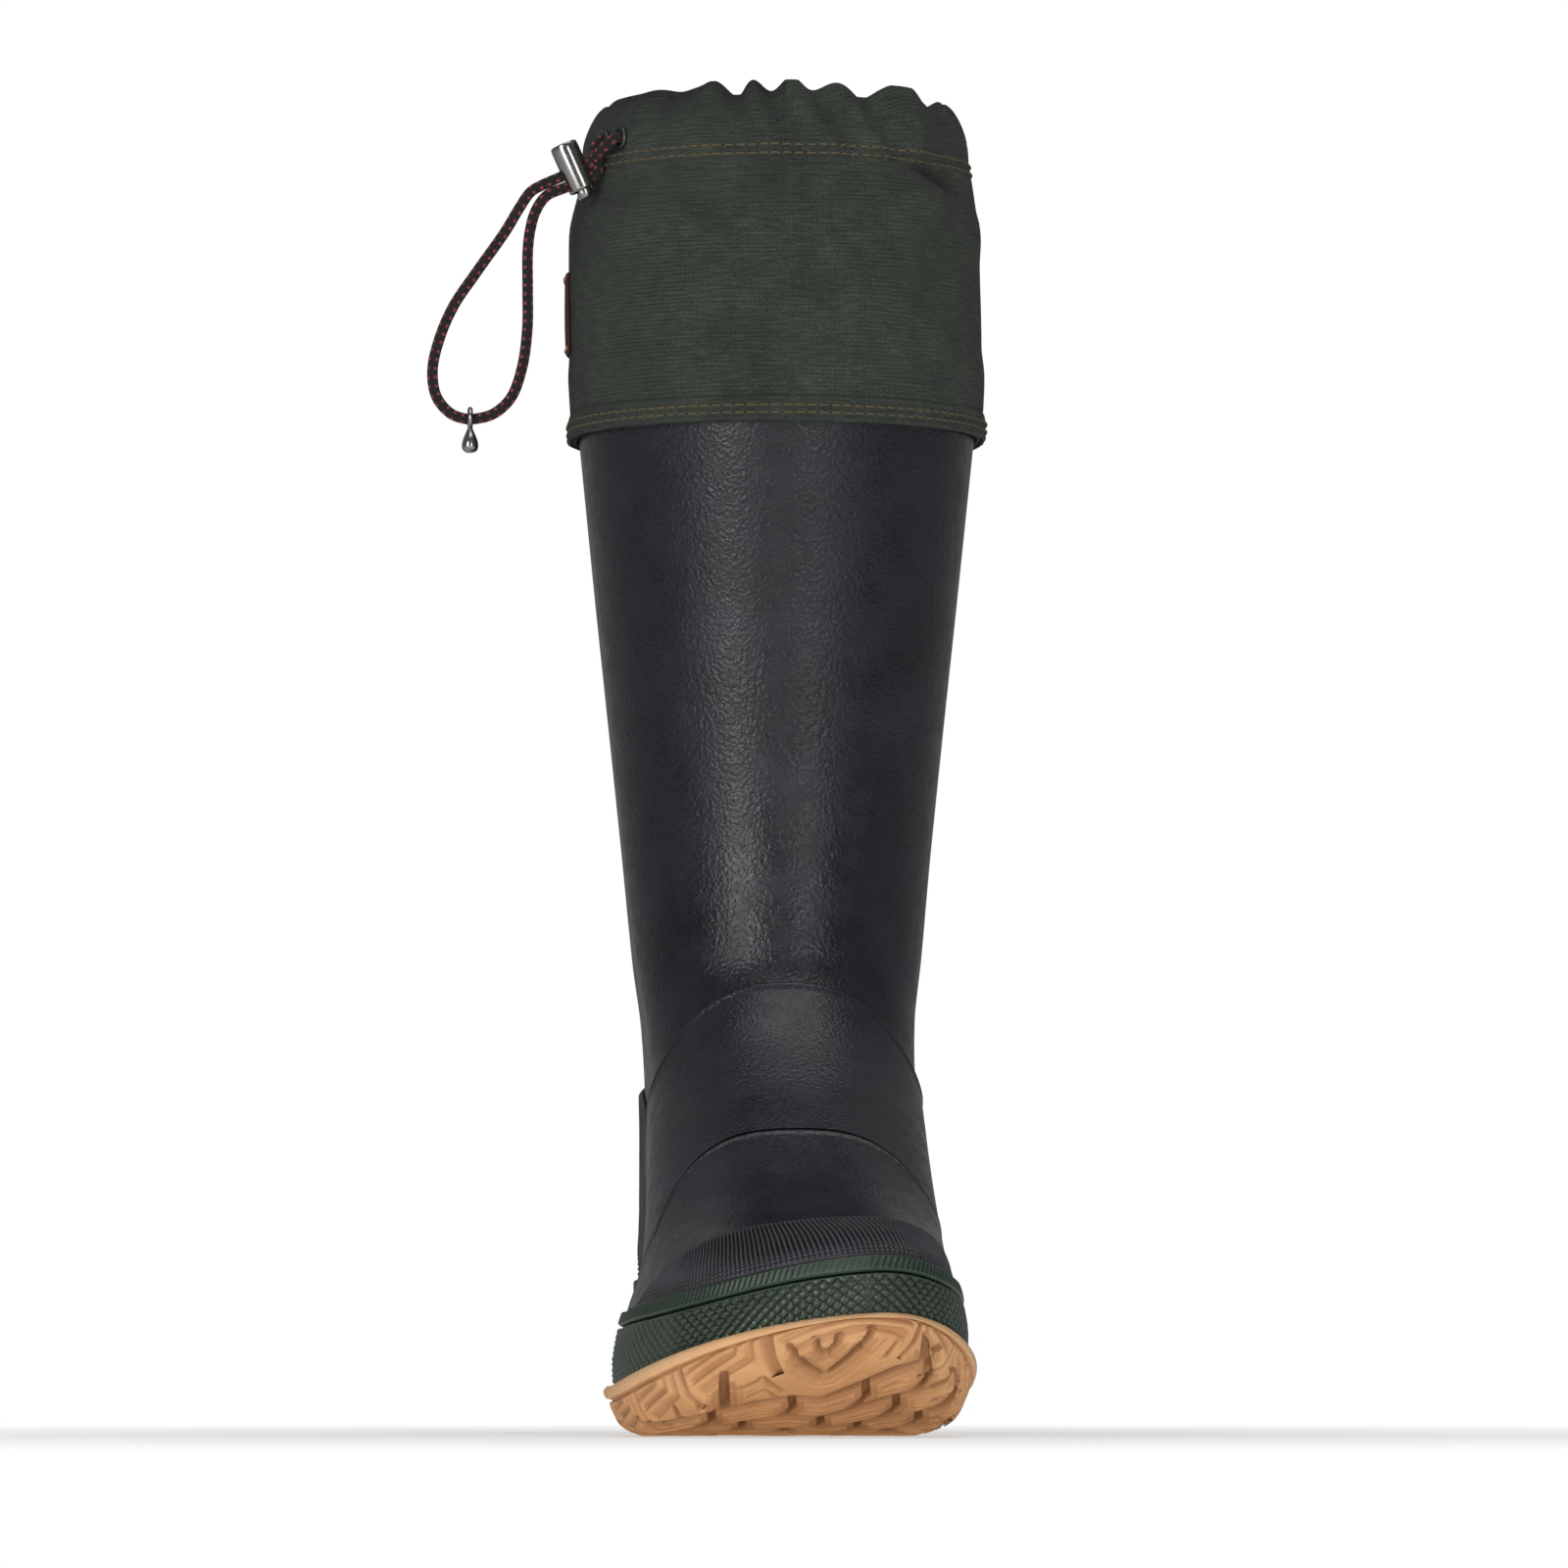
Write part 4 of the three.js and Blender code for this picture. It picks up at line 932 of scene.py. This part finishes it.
def scales(u, h):
    """Overlapping rhombic scales, standing out in some stretches and nearly flat in others."""
    width, rise = 4.3, 3.5
    a = np.mod(u / width + h / rise, 1)
    b = np.mod(u / width - h / rise, 1)
    border = np.minimum(np.minimum(a, 1 - a), np.minimum(b, 1 - b))
    tilt = 0.6 + 0.4 * (1 - a + b)
    bold = 0.45 + 0.55 * smooth(0.5 + 0.9 * np.sin(u / 21 + 0.6) + 0.25 * np.sin(u / 7.3))
    return (smooth(border / 0.2) * tilt - 1) * bold


def slanted_ribs(u, h):
    ridge = 0.5 + 0.5 * np.cos(2 * math.pi * (u - 0.5 * h) / 2.1)
    bold = 0.4 + 0.6 * smooth(0.5 + np.sin(u / 33 + 1.1))
    return (ridge**1.5 - 0.8) * 0.55 * bold


def knurl(u, h):
    """Fine ribs up the cap that break into rows of beads lower down."""
    rib = np.cos(2 * math.pi * (u + 0.5 * np.sin(h / 11)) / 1.6)
    bead = np.cos(2 * math.pi * h / 1.6 + 1.2 * np.sin(u / 12))
    share = smooth((10 - h) / 9)
    return (lerp(rib, 0.5 * (rib + bead), share) - 0.7) * 0.56


def grain_only(u, h):
    return 0.05 * np.sin(u / 9) * np.sin(h / 7)


def make_bands():
    columns = even_columns(0, COLUMNS, fine(1500) + 1)[:-1]
    gum = at_height(columns, lambda p: gum_height(p) + 2 * GAP)
    edge, overlap = (at_height(columns, lambda p, d=down: foxing_height(p) - d) for down in (1.4, 1.2))
    thickness = WALL["foxing"] - 0.1
    foxing = layer("foxing_scales", columns, gum, edge, fine(46), thickness, scales, 0.9, True)
    foxing.make(GREEN, "green_rubber", ["foxing_band"])
    top, rows, thickness = at_height(columns, trim_height), fine(14) + 6, WALL["foxing"] + 0.35
    trim = layer("foxing_ribbed_trim", columns, overlap, top, rows, thickness, slanted_ribs, 1.0, True)
    trim.make(GREEN_TRIM, "green_rubber", ["foxing_trim"])


def edge_of(columns, reach, seam):
    """A seam's height within a layer's reach to both sides of the toe, and none past it."""
    line = np.maximum(at_seam(columns, seam), above_trim(columns) + 0.5)
    return np.where(np.abs(columns) > reach, 0, line)


def make_overlays():
    def front(name, node, reach, seam, rows, count, wall, relief, material, slot, below=None, bead=0.0):
        columns = even_columns(-reach, reach, fine(count))
        low = above_trim(columns)
        if below:
            low = np.maximum(low, edge_of(columns, *below) + 0.2)
        high = edge_of(columns, reach, seam)
        piece = layer(name, columns, low, high, fine(rows), WALL[wall], relief, 1.1, bead=bead)
        piece.make(material, slot, [node])

    front("toe_cap_knurled", "toe_cap_overlay", 6, "toe", 110, 900, "cap", knurl, KNURL, "knurled_rubber")
    smooth_layer = ("overlay", grain_only, BLACK_LAYER, "black_rubber")
    front("vamp_layer", "vamp_overlay", 7, "vamp", 90, 360, *smooth_layer, below=(6, "toe"), bead=0.35)
    front("ankle_layer", "ankle_overlay", 8, "ankle", 90, 400, *smooth_layer, below=(7, "vamp"), bead=0.35)
    columns = even_columns(9, COLUMNS - 9, fine(900))
    low, high = above_trim(columns), at_seam(columns, "counter")
    heel = layer("heel_knurled", columns, low, high, fine(120), WALL["cap"], knurl, 1.1)
    heel.make(KNURL, "knurled_rubber", ["heel_overlay"])


SOCK = -WALL["rubber"] - GAP
LINING = SOCK - WALL["insulation"] - GAP
make_shell()
make_sock("insulation_sock", "insulation_bootie", SOCK, WALL["insulation"], 20, 322, NEOPRENE, "neoprene")
make_sock("lining_sock", "jersey_lining", LINING, WALL["lining"], 25, 321, KNIT, "jersey")
make_bands()
make_overlays()


# ---- Outsole ----

WEB = 10
GROOVE, LUG_DEPTH = 3.7, 5.0
WAVE = [(-75, -50), (-48, -62), (-36, -76), (-24, -84), (-15, -90), (-5, -92), (4, -88), (16, -99),
        (26, -108), (37, -112), (48, -122), (75, -146)]
WAVE_SHIFTS = (-20, 2, 24, 46, 68)
HEEL_WAVE = [(-60, 4), (-20, -3), (0, 3), (20, -3), (60, 4)]
HEEL_PLACES = (80, 97, 114, 131)


def moved(line, shift):
    return [(x, y + shift) for x, y in line]


def wave_between(shift, left, right):
    inside = [(x, y) for x, y in WAVE if left < x < right]
    ends = [(x, float(np.interp(x, *zip(*WAVE)))) for x in (left, right)]
    return moved([ends[0], *inside, ends[1]], shift)


def tread_cuts():
    """Every groove of the tread, as its line, width and depth."""
    cuts = [(moved(WAVE, shift), GROOVE, LUG_DEPTH) for shift in WAVE_SHIFTS]
    cuts += [(moved(HEEL_WAVE, shift), GROOVE, LUG_DEPTH) for shift in HEEL_PLACES]
    cuts += [
        ([(-9, -162), (3.5, -142), (15, -162)], 2.2, 4.6),
        ([(-19, -162), (4, -128), (24, -162)], 2.4, 4.8),
        ([(-27, -140), (-25, -106)], 3.0, 4.8),
        ([(34, -150), (34, -130)], 2.8, 4.8),
        ([(-24, -122), (-14.5, -133), (-8, -121)], 1.3, 2.2),
        ([(-20, -117), (-14, -125), (-9.5, -116)], 1.1, 1.8),
        ([(21, -139), (25, -146), (34, -145)], 1.3, 2.2),
        ([(20, -146), (26, -152), (34, -151)], 1.1, 1.8),
        ([(-40, -135), (-36.7, -122), (-32.5, -109), (-26, -112)], 1.3, 2.0),
        ([(-37, -136), (-34, -125), (-31, -119), (-26, -121)], 1.2, 1.8),
        ([(-0.5, -154), (3.8, -148), (8, -154)], 1.0, 1.6),
        ([(-41, -141), (-44, -118), (-38, -99)], 1.8, 3.0),
    ]
    for row, shift in enumerate(WAVE_SHIFTS[:-1]):
        aside = 10 if row % 2 else 0
        breaks = [x + aside for x in (-30, -6, 16, 34)]
        for x in breaks:
            y = float(np.interp(x, *zip(*WAVE))) + shift + 11
            cuts.append(([(x + 1, y - 10), (x + 2, y), (x - 1, y + 10)], 2.4, 4.8))
        for left, right in zip([-48, *breaks], [*breaks, 50]):
            if right - left > 12:
                cuts.append((wave_between(shift + 8.5, left + 3.5, right - 4.5), 1.2, 1.9))
                cuts.append((wave_between(shift + 13, left + 5, right - 6), 1.1, 1.6))
    for shift in HEEL_PLACES[:-1]:
        cuts += [(moved([(x, 3), (x + 2, 8.5), (x, 14)], shift), 2.4, 4.6) for x in (-22, 0, 20)]
        cuts += [(moved([(x - 6, 8), (x, 10.5), (x + 6, 8)], shift), 1.2, 1.8) for x in (-11, 11)]
    return cuts


def distance_to(line, x, y):
    best = np.full(x.shape, 1e6)
    for (x0, y0), (x1, y1) in zip(line, line[1:]):
        dx, dy = x1 - x0, y1 - y0
        t = np.clip(((x - x0) * dx + (y - y0) * dy) / (dx * dx + dy * dy), 0, 1)
        best = np.minimum(best, np.hypot(x - x0 - t * dx, y - y0 - t * dy))
    return best


def cut_depth(points):
    x, y = points[..., 0], points[..., 1]
    depth = np.zeros(x.shape)
    for line, width, deep in tread_cuts():
        away = distance_to(line, x, y) - width / 2
        depth = np.maximum(depth, deep * (1 - smooth((away + 0.35) / 0.9)))
        if deep > 4:
            for reach, step in ((1.9, 1.7), (3.9, 0.8)):
                depth = np.maximum(depth, step * (1 - smooth((away - reach) / 0.65)))
    return depth


def carved(points):
    """Points of the sole with the tread's grooves and the arch cut into them, and the depth cut."""
    x, y, z = np.moveaxis(points, -1, 0)
    depth = cut_depth(points)
    ground = tread_height(points)
    arch = np.interp(y, (-6, 2, 56, 62), (-1, 5.5, 7.5, -1))
    worn = 0.18 * (np.sin(x / 3.1) * np.sin(y / 2.7) + 1)
    level = np.maximum(z, np.maximum(ground + np.maximum(depth, worn * 0.5), arch))
    return at(x, y, level), -np.where(z < ground + depth, depth, 0)


def web_height(p):
    return WEB + lift(p)


def sole_ring(columns, v, offset, line):
    points = upper.point(columns, v, offset)
    points[..., 2] = line(points)
    return points


def filled(ring, across):
    right, left = halves(ring)
    return lerp(right[:, None], left[:, None], np.linspace(0, 1, across)[None, :, None])


def ring_columns(count):
    """Columns evenly spaced from toe to heel, mirrored on the other side."""
    side = even_columns(0, HALF, count)
    return np.concatenate([side, COLUMNS - side[-2:0:-1]])


def side_lugs(wall, share, columns):
    """L-shaped lugs one inside the other that wrap up the sole's side."""
    out = upper.normal(columns, SOLE_LEVEL)
    widest = wall[len(wall) // 2]
    along = run_length(widest[: len(widest) // 2 + 1])
    along = np.concatenate([along, along[-2:0:-1]])
    height = wall[..., 2] - tread_height(wall)
    where = np.mod(along + 7, 23)[None, :] + 0 * height
    depth = np.zeros(height.shape)
    lines = (([(1, 14), (1, 0), (3, -4)], 2.2, 2.6), ([(4.5, 14), (5, 4.5), (20, 2.6)], 1.3, 1.5),
             ([(8, 14), (8.6, 7.6), (21, 5.8)], 1.3, 1.5), ([(12, 14), (12.5, 10.5), (22, 9)], 1.2, 1.2))
    for line, width, deep in lines:
        away = distance_to(line, where, height) - width / 2
        depth = np.maximum(depth, deep * (1 - smooth((away + 0.4) / 1.1)))
    band = smooth((0.72 - share) / 0.05)[:, None]
    under_rim = 1.5 * (1 - smooth(np.abs(share - 0.71) / 0.055))[:, None]
    depth = np.maximum(depth * band, under_rim)
    # The second value, the lugs' depth made a third deeper, sets the gum's painted shade in these grooves.
    return wall - out[None] * depth[..., None], -1.3 * depth


def make_outsole():
    proud = 5.4  # how far the rim stands off the upper
    columns = ring_columns(fine(860))
    rim_height = at_height(columns, gum_height)
    rim = upper.point(columns, rim_height, proud)
    out = upper.normal(columns, rim_height)
    share = np.linspace(0, 1, fine(64))
    reach = line_through((0, 0.1, 0.22, 0.55, 0.72, 0.78, 0.9, 1), (-6.5, -2.4, 0.5, 3.2, 4.4, 5.3, 5.9, 4.9))
    rows = []
    for s, offset in zip(share, reach(share)):
        low, high = upper.point(columns, SOLE_LEVEL, offset), rim + out * (offset - proud)
        row = lerp(low, high, smooth((s - 0.5) / 0.5))
        row[:, 2] = lerp(tread_height(row), gum_height(row), s)
        rows.append(row)
    wall, lug_cut = side_lugs(np.array(rows), share, columns)
    wall, cut = carved(wall)
    # A relief of 1 marks the rim band for the gum's painted highlight; the cuts' depths set its painted shade
    # in the grooves.
    relief = np.where(share > 0.75, 1.0, 0.0)[:, None] + np.minimum(cut, lug_cut)
    inside = [upper.point(columns, rim_height, 3.6), upper.point(columns, rim_height, GAP)]
    for t in np.linspace(0, 1, 6)[1:-1]:
        inside.append(upper.point(columns, lerp(rim_height, UPPER[0][0], t), GAP))
    floor = sole_ring(columns, UPPER[0][0], GAP, web_height)
    build = Build("gum_outsole")
    build.grid(wall, True, relief=relief)
    build.grid(np.array([wall[-1], *inside, floor]), True)
    bottom, cut = carved(filled(rows[0], fine(250)))
    # The cuts' depths set the gum's painted shade in the tread's grooves.
    build.grid(bottom, relief=cut)
    build.grid(filled(floor, 6))
    build.make(GUM, "gum", ["outsole"], outward=True)


def make_slab(name, node, v, inset, low, high, material, slot, dish=0.0):
    """A flat piece from low to high over the web, inside the upper's outline at v, with rounded edges."""
    columns = ring_columns(fine(120))
    profile = [(0, low), (0.5, low), (0.8, low + 0.3), (0.8, high - 0.5), (0.4, high - 0.1), (-0.6, high)]
    rings = [sole_ring(columns, v, out - inset - 0.8, lambda p, h=h: web_height(p) + h) for out, h in profile]
    build = Build(name)
    build.grid(np.array(rings), True)
    for ring, depth in ((rings[0], 0), (rings[-1], dish)):
        flat = filled(ring, 24)
        along, across = (np.sin(np.linspace(0, math.pi, count)) for count in flat.shape[:2])
        flat[..., 2] -= depth * across * along[:, None]
        build.grid(flat)
    return build.make(material, slot, [node], outward=True)


make_outsole()
make_slab("midsole_filler", "midsole", UPPER[0][0], 3.1, 0.3, 4.1, FOAM, "foam")
make_slab("lasting_board", "insole_board", UPPER[0][0], 3.1, 4.5, 6.0, BOARD, "board")
footbed = make_slab("loose_footbed", "footbed", 20.6, 11.3, 11.6, 15.6, FELT, "felt", 0.8)


# ---- Cuff ----

CASING = [(62, 412.3), (61.4, 418), (59.2, 424), (56.4, 428.6), (53.8, 430.5), (51.8, 428.6), (53, 422.5),
          (54.8, 417), (55.6, 412.3)]
HEM_TOP = 329.5
RUN_WIDTH, RUN_HEIGHT = 57.3, 419.2
PATCH = dict(low=350.0, high=376.0, first=-11, last=-6)
STITCH_PITCH = 3.9
STITCH_ROWS = ((407.5, 0.0), (410.3, 0.0), (324.2, 1.38), (326.6, 1.2))  # height, how far off the cloth
# Angle from the front, width in radians and depth of the sharp creases in the rim.
CREASES = ((1.02, 0.085, 3.0), (0.42, 0.07, 1.8), (-0.3, 0.07, 1.4), (2.4, 0.08, 2.4), (-2.2, 0.08, 2.2))
pleats = waves(10, 8, 27, 11)
slack = waves(5, 3, 8, 12)
rumple = waves(7, 6, 17, 5)


def cloth_shift(x, y, z):
    """How far the cloth stands off its smooth shape: gathers at the drawcord, slack folds below."""
    angle = np.arctan2(x, CUFF_AXIS - y)
    lean = 0.35 * np.sin(3 * angle + 1) * (z - 412) / 40
    gathered = pleats(angle + lean) * 2.1 * smooth((z - 396) / 30)
    below = smooth((418 - z) / 30)
    loose = slack(angle + (z - 370) / 260) * 1.5 * smooth((z - 330) / 30) * below
    loose = loose + rumple(angle - (z - 370) / 120) * 0.8 * smooth((z - 330) / 25) * below
    beside = angle - 0.86
    tucked = 4.6 * np.exp(-((beside / 0.26) ** 2) - ((z - 403 + 16 * beside) / 3.6) ** 2)
    sagging = 2.2 * np.exp(-((beside / 0.34) ** 2) - ((z - 391 + 16 * beside) / 7) ** 2)
    creased = 0
    for middle, width, deep in CREASES:
        across = (angle - middle - (z - 424) * 0.006) / width
        creased = creased + deep * np.exp(-(across**2)) * smooth((z - 398) / 24)
    from_lock = np.hypot(x + 62, y - 42)
    shift = gathered + loose + sagging - tucked - creased
    return shift * smooth((from_lock - 12) / 20) * smooth((z - 328) / 12)


def cloth_base(column, v):
    width = CUFF_WIDTH(v)
    shift = cloth_shift(*ring_point(column, width), v)
    return at(*ring_point(column, width + shift), v)


cloth = Surface(cloth_base, CUFF[0][0], CUFF[-1][0])


def casing_row(columns, width, z):
    shift = cloth_shift(*ring_point(columns, width), z)
    rise = smooth((z - 414) / 16)
    x, y = ring_point(columns, width + shift * (1 - 0.35 * rise))
    return at(x, y, z + 0.8 * np.clip(shift, -3.4, 1.8) * rise)


def dense(profile, steps):
    """A profile's points through a smooth curve."""
    return centripetal([(w, z, 0) for w, z in profile], steps)[:, :2]


def make_canvas():
    columns = all_round(1100)
    heights = np.linspace(CUFF[0][0] + 0.5, 412, fine(150))
    outer = [cloth.point(columns, h) for h in heights]
    inner = [cloth.point(columns, h, -WALL["canvas"]) for h in heights[::-3]]
    rim = [casing_row(columns, w, z) for w, z in dense(CASING, fine(9) + 2)[1:]]
    hem = [cloth.point(columns, CUFF[0][0], -WALL["canvas"] * t) for t in (0.75, 0.25)]
    build = Build("canvas_gaiter")
    build.grid(np.array([*outer, *rim, *inner, *hem, outer[0]]), True)
    bore = 2.4  # radius of the cord's tunnel through the casing
    tunnel = [casing_row(columns[::4], RUN_WIDTH + bore * math.cos(a), RUN_HEIGHT + bore * math.sin(a))
              for a in np.linspace(0, 2 * math.pi, 17)]
    build.grid(np.array(tunnel), True, flip=True)
    return build.make(CANVAS, "canvas", ["canvas_cuff", "cuff_casing"])


def make_hem():
    columns = all_round(600)
    low, high = CUFF[0][0], HEM_TOP
    section = [(low + 0.1, 0.35), (low - 0.15, 0.9), (low + 0.1, 1.45), (low + 0.9, 1.75), (low + 2, 1.55),
               (low + 3.6, 1.35), (low + 5.5, 1.2), (high - 1, 0.85), (high, 0.45), (high - 0.1, 0.33)]
    wobble = waves(6, 9, 40, 8)(columns / COLUMNS * 2 * math.pi) * 0.22
    rows = []
    for z, offset in dense(section, 4):
        row = cloth.point(columns, max(z, low), offset + wobble * min(1, max(0, offset - 0.4)))
        row[:, 2] += min(0, z - low)
        rows.append(row)
    build = Build("canvas_hem")
    build.grid(np.array([*rows, rows[0]]), True)
    return build.make(CANVAS, "canvas", ["cuff_hem"], outward=True)


def stitch_row(build, height, proud, pitch, first=0, last=COLUMNS):
    """Thread along the cloth at a height, over it and then under it."""

    def line(columns, offset):
        return cloth.point(columns, height, offset + proud)

    many = np.linspace(first, last, 1500)
    length = run_length(line(many, 0.0))
    count = round(length[-1] / pitch)
    share = np.linspace(0, 1, count * 12 + 1)
    columns = np.interp(share * length[-1], length, many)
    turn = np.cos(share * count * 2 * math.pi)
    over = np.where(turn > -0.62, np.maximum(smooth(0.5 + 0.9 * turn), 0.75), 0)
    path = line(columns, -0.6 + 0.88 * over)
    normal = line(columns, 1.0) - line(columns, 0.0)
    side = unit(np.cross(normal, unit(np.gradient(path, axis=0))))
    angle = ring_angles(7)[None, :, None]
    rings = path[:, None] + 0.36 * (np.cos(angle) * normal[:, None] + 1.15 * np.sin(angle) * side[:, None])
    if last - first == COLUMNS:
        rings[-1] = rings[0]
    else:
        rings = ended(rings, path)
    build.grid(rings, True)


def make_stitches():
    build = Build("canvas_stitching")
    for height, proud in STITCH_ROWS:
        stitch_row(build, height, proud, STITCH_PITCH)
    return build.make(THREAD, "canvas", outward=True)


def weave(u, h):
    return 0.12 * np.sin(u * 4.2) * np.sin(h * 4.2)


def make_patch():
    first, last, low, high = PATCH["first"], PATCH["last"], PATCH["low"], PATCH["high"]
    columns = even_columns(first, last, fine(240), lambda c: cloth.point(c, (low + high) / 2))
    edges = np.full(len(columns), low), np.full(len(columns), high)
    patch = layer("side_patch_woven", columns, *edges, fine(110), 0.8, weave, 0.6, surface=cloth)
    patch.make(PATCH_WEAVE, "patch", ["side_patch"])
    inset, pitch, proud, seam_end = 1.6, 2.6, 1.1, 0.22
    build = Build("side_patch_stitching")
    for height in (low + inset, high - inset):
        stitch_row(build, height, proud, pitch, first + seam_end, last - seam_end)
    build.make(PATCH_THREAD, "patch", outward=True)


def make_run():
    """The cord inside the casing, from one eyelet round the leg to the other."""
    path = casing_row(np.linspace(-3.6, COLUMNS - 4.9, 420), RUN_WIDTH, RUN_HEIGHT)
    run = cord_tube("cord_run", path, CORD_RADIUS - 0.05, 14)
    return run.make(CORD, "cord", ["drawcord_run"], outward=True)


gaiter = make_canvas()
hem_piece = make_hem()
cuff_thread = make_stitches()
make_patch()
make_run()
bpy.data.objects["shank"].data.materials.clear()
bpy.data.objects["shank"].data.materials.append(STEEL)


# ---- Light and floor ----


def area_light(name, location, size, power, target=(0, 0, 0.2)):
    data = bpy.data.lights.new(name, "AREA")
    data.shape = "RECTANGLE"
    data.size, data.size_y = size
    data.energy = power
    aimed(name, data, location, target)


def make_world():
    """White to the camera, bright behind the boot and dimmer in front of it."""
    world = bpy.data.worlds.new("studio")
    bpy.context.scene.world = world
    world.use_nodes = True
    n = Tree(world.node_tree)
    across = n.add("SeparateXYZ", {0: n.add("TexCoord").outputs["Generated"]}).outputs[1]
    seen = n.add("LightPath").outputs["Is Camera Ray"]
    background = n.tree.nodes["Background"]
    n.feed(background.inputs["Strength"], n.math("MAXIMUM", seen, n.span(across, -0.6, 0.9, 0.1, 0.3)))
    n.feed(background.inputs["Color"], (1, 1, 1, 1))


def make_floor():
    """A pale floor that shows from above only, so the low camera sees the tread."""
    mesh = bpy.data.meshes.new("floor")
    mesh.from_pydata([(-6, -6, 0), (6, -6, 0), (6, 6, 0), (-6, 6, 0)], [], [(0, 1, 2, 3)])
    floor = linked("floor", mesh)
    n = Nodes("floor", 0.9)
    n.constant("Base Color", (0.86, 0.86, 0.85, 1))
    path = n.add("LightPath").outputs
    away = n.add("VectorMath", {0: n.add("TexCoord").outputs["Object"]}, operation="LENGTH").outputs["Value"]
    fade = n.math("MULTIPLY", n.span(away, 0.12, 0.6, 0.5, 1.0), path["Is Camera Ray"])
    pale = n.add("MixShader", {0: fade, 1: n.shader.outputs[0], 2: n.add("Emission").outputs[0]}).outputs[0]
    hidden = n.math("MAXIMUM", n.add("NewGeometry").outputs["Backfacing"], path["Is Shadow Ray"])
    clear = n.add("BsdfTransparent").outputs[0]
    shown = n.add("MixShader", {0: hidden, 1: pale, 2: clear}).outputs[0]
    n.feed(n.tree.nodes["Material Output"].inputs["Surface"], shown)
    mesh.materials.append(n.material)


area_light("left_softbox", (-1.7, -2.6, 0.7), (0.9, 2.2), 46)
area_light("right_softbox", (1.1, -3.2, 0.6), (0.6, 2.2), 24)
area_light("top_softbox", (0.2, -0.6, 2.4), (1.8, 1.8), 20)
area_light("low_front_softbox", (0.2, -2.2, -1.2), (1.8, 1.0), 34, (0, -0.05, 0.0))
make_world()
make_floor()
bpy.context.scene.view_settings.view_transform = "Standard"
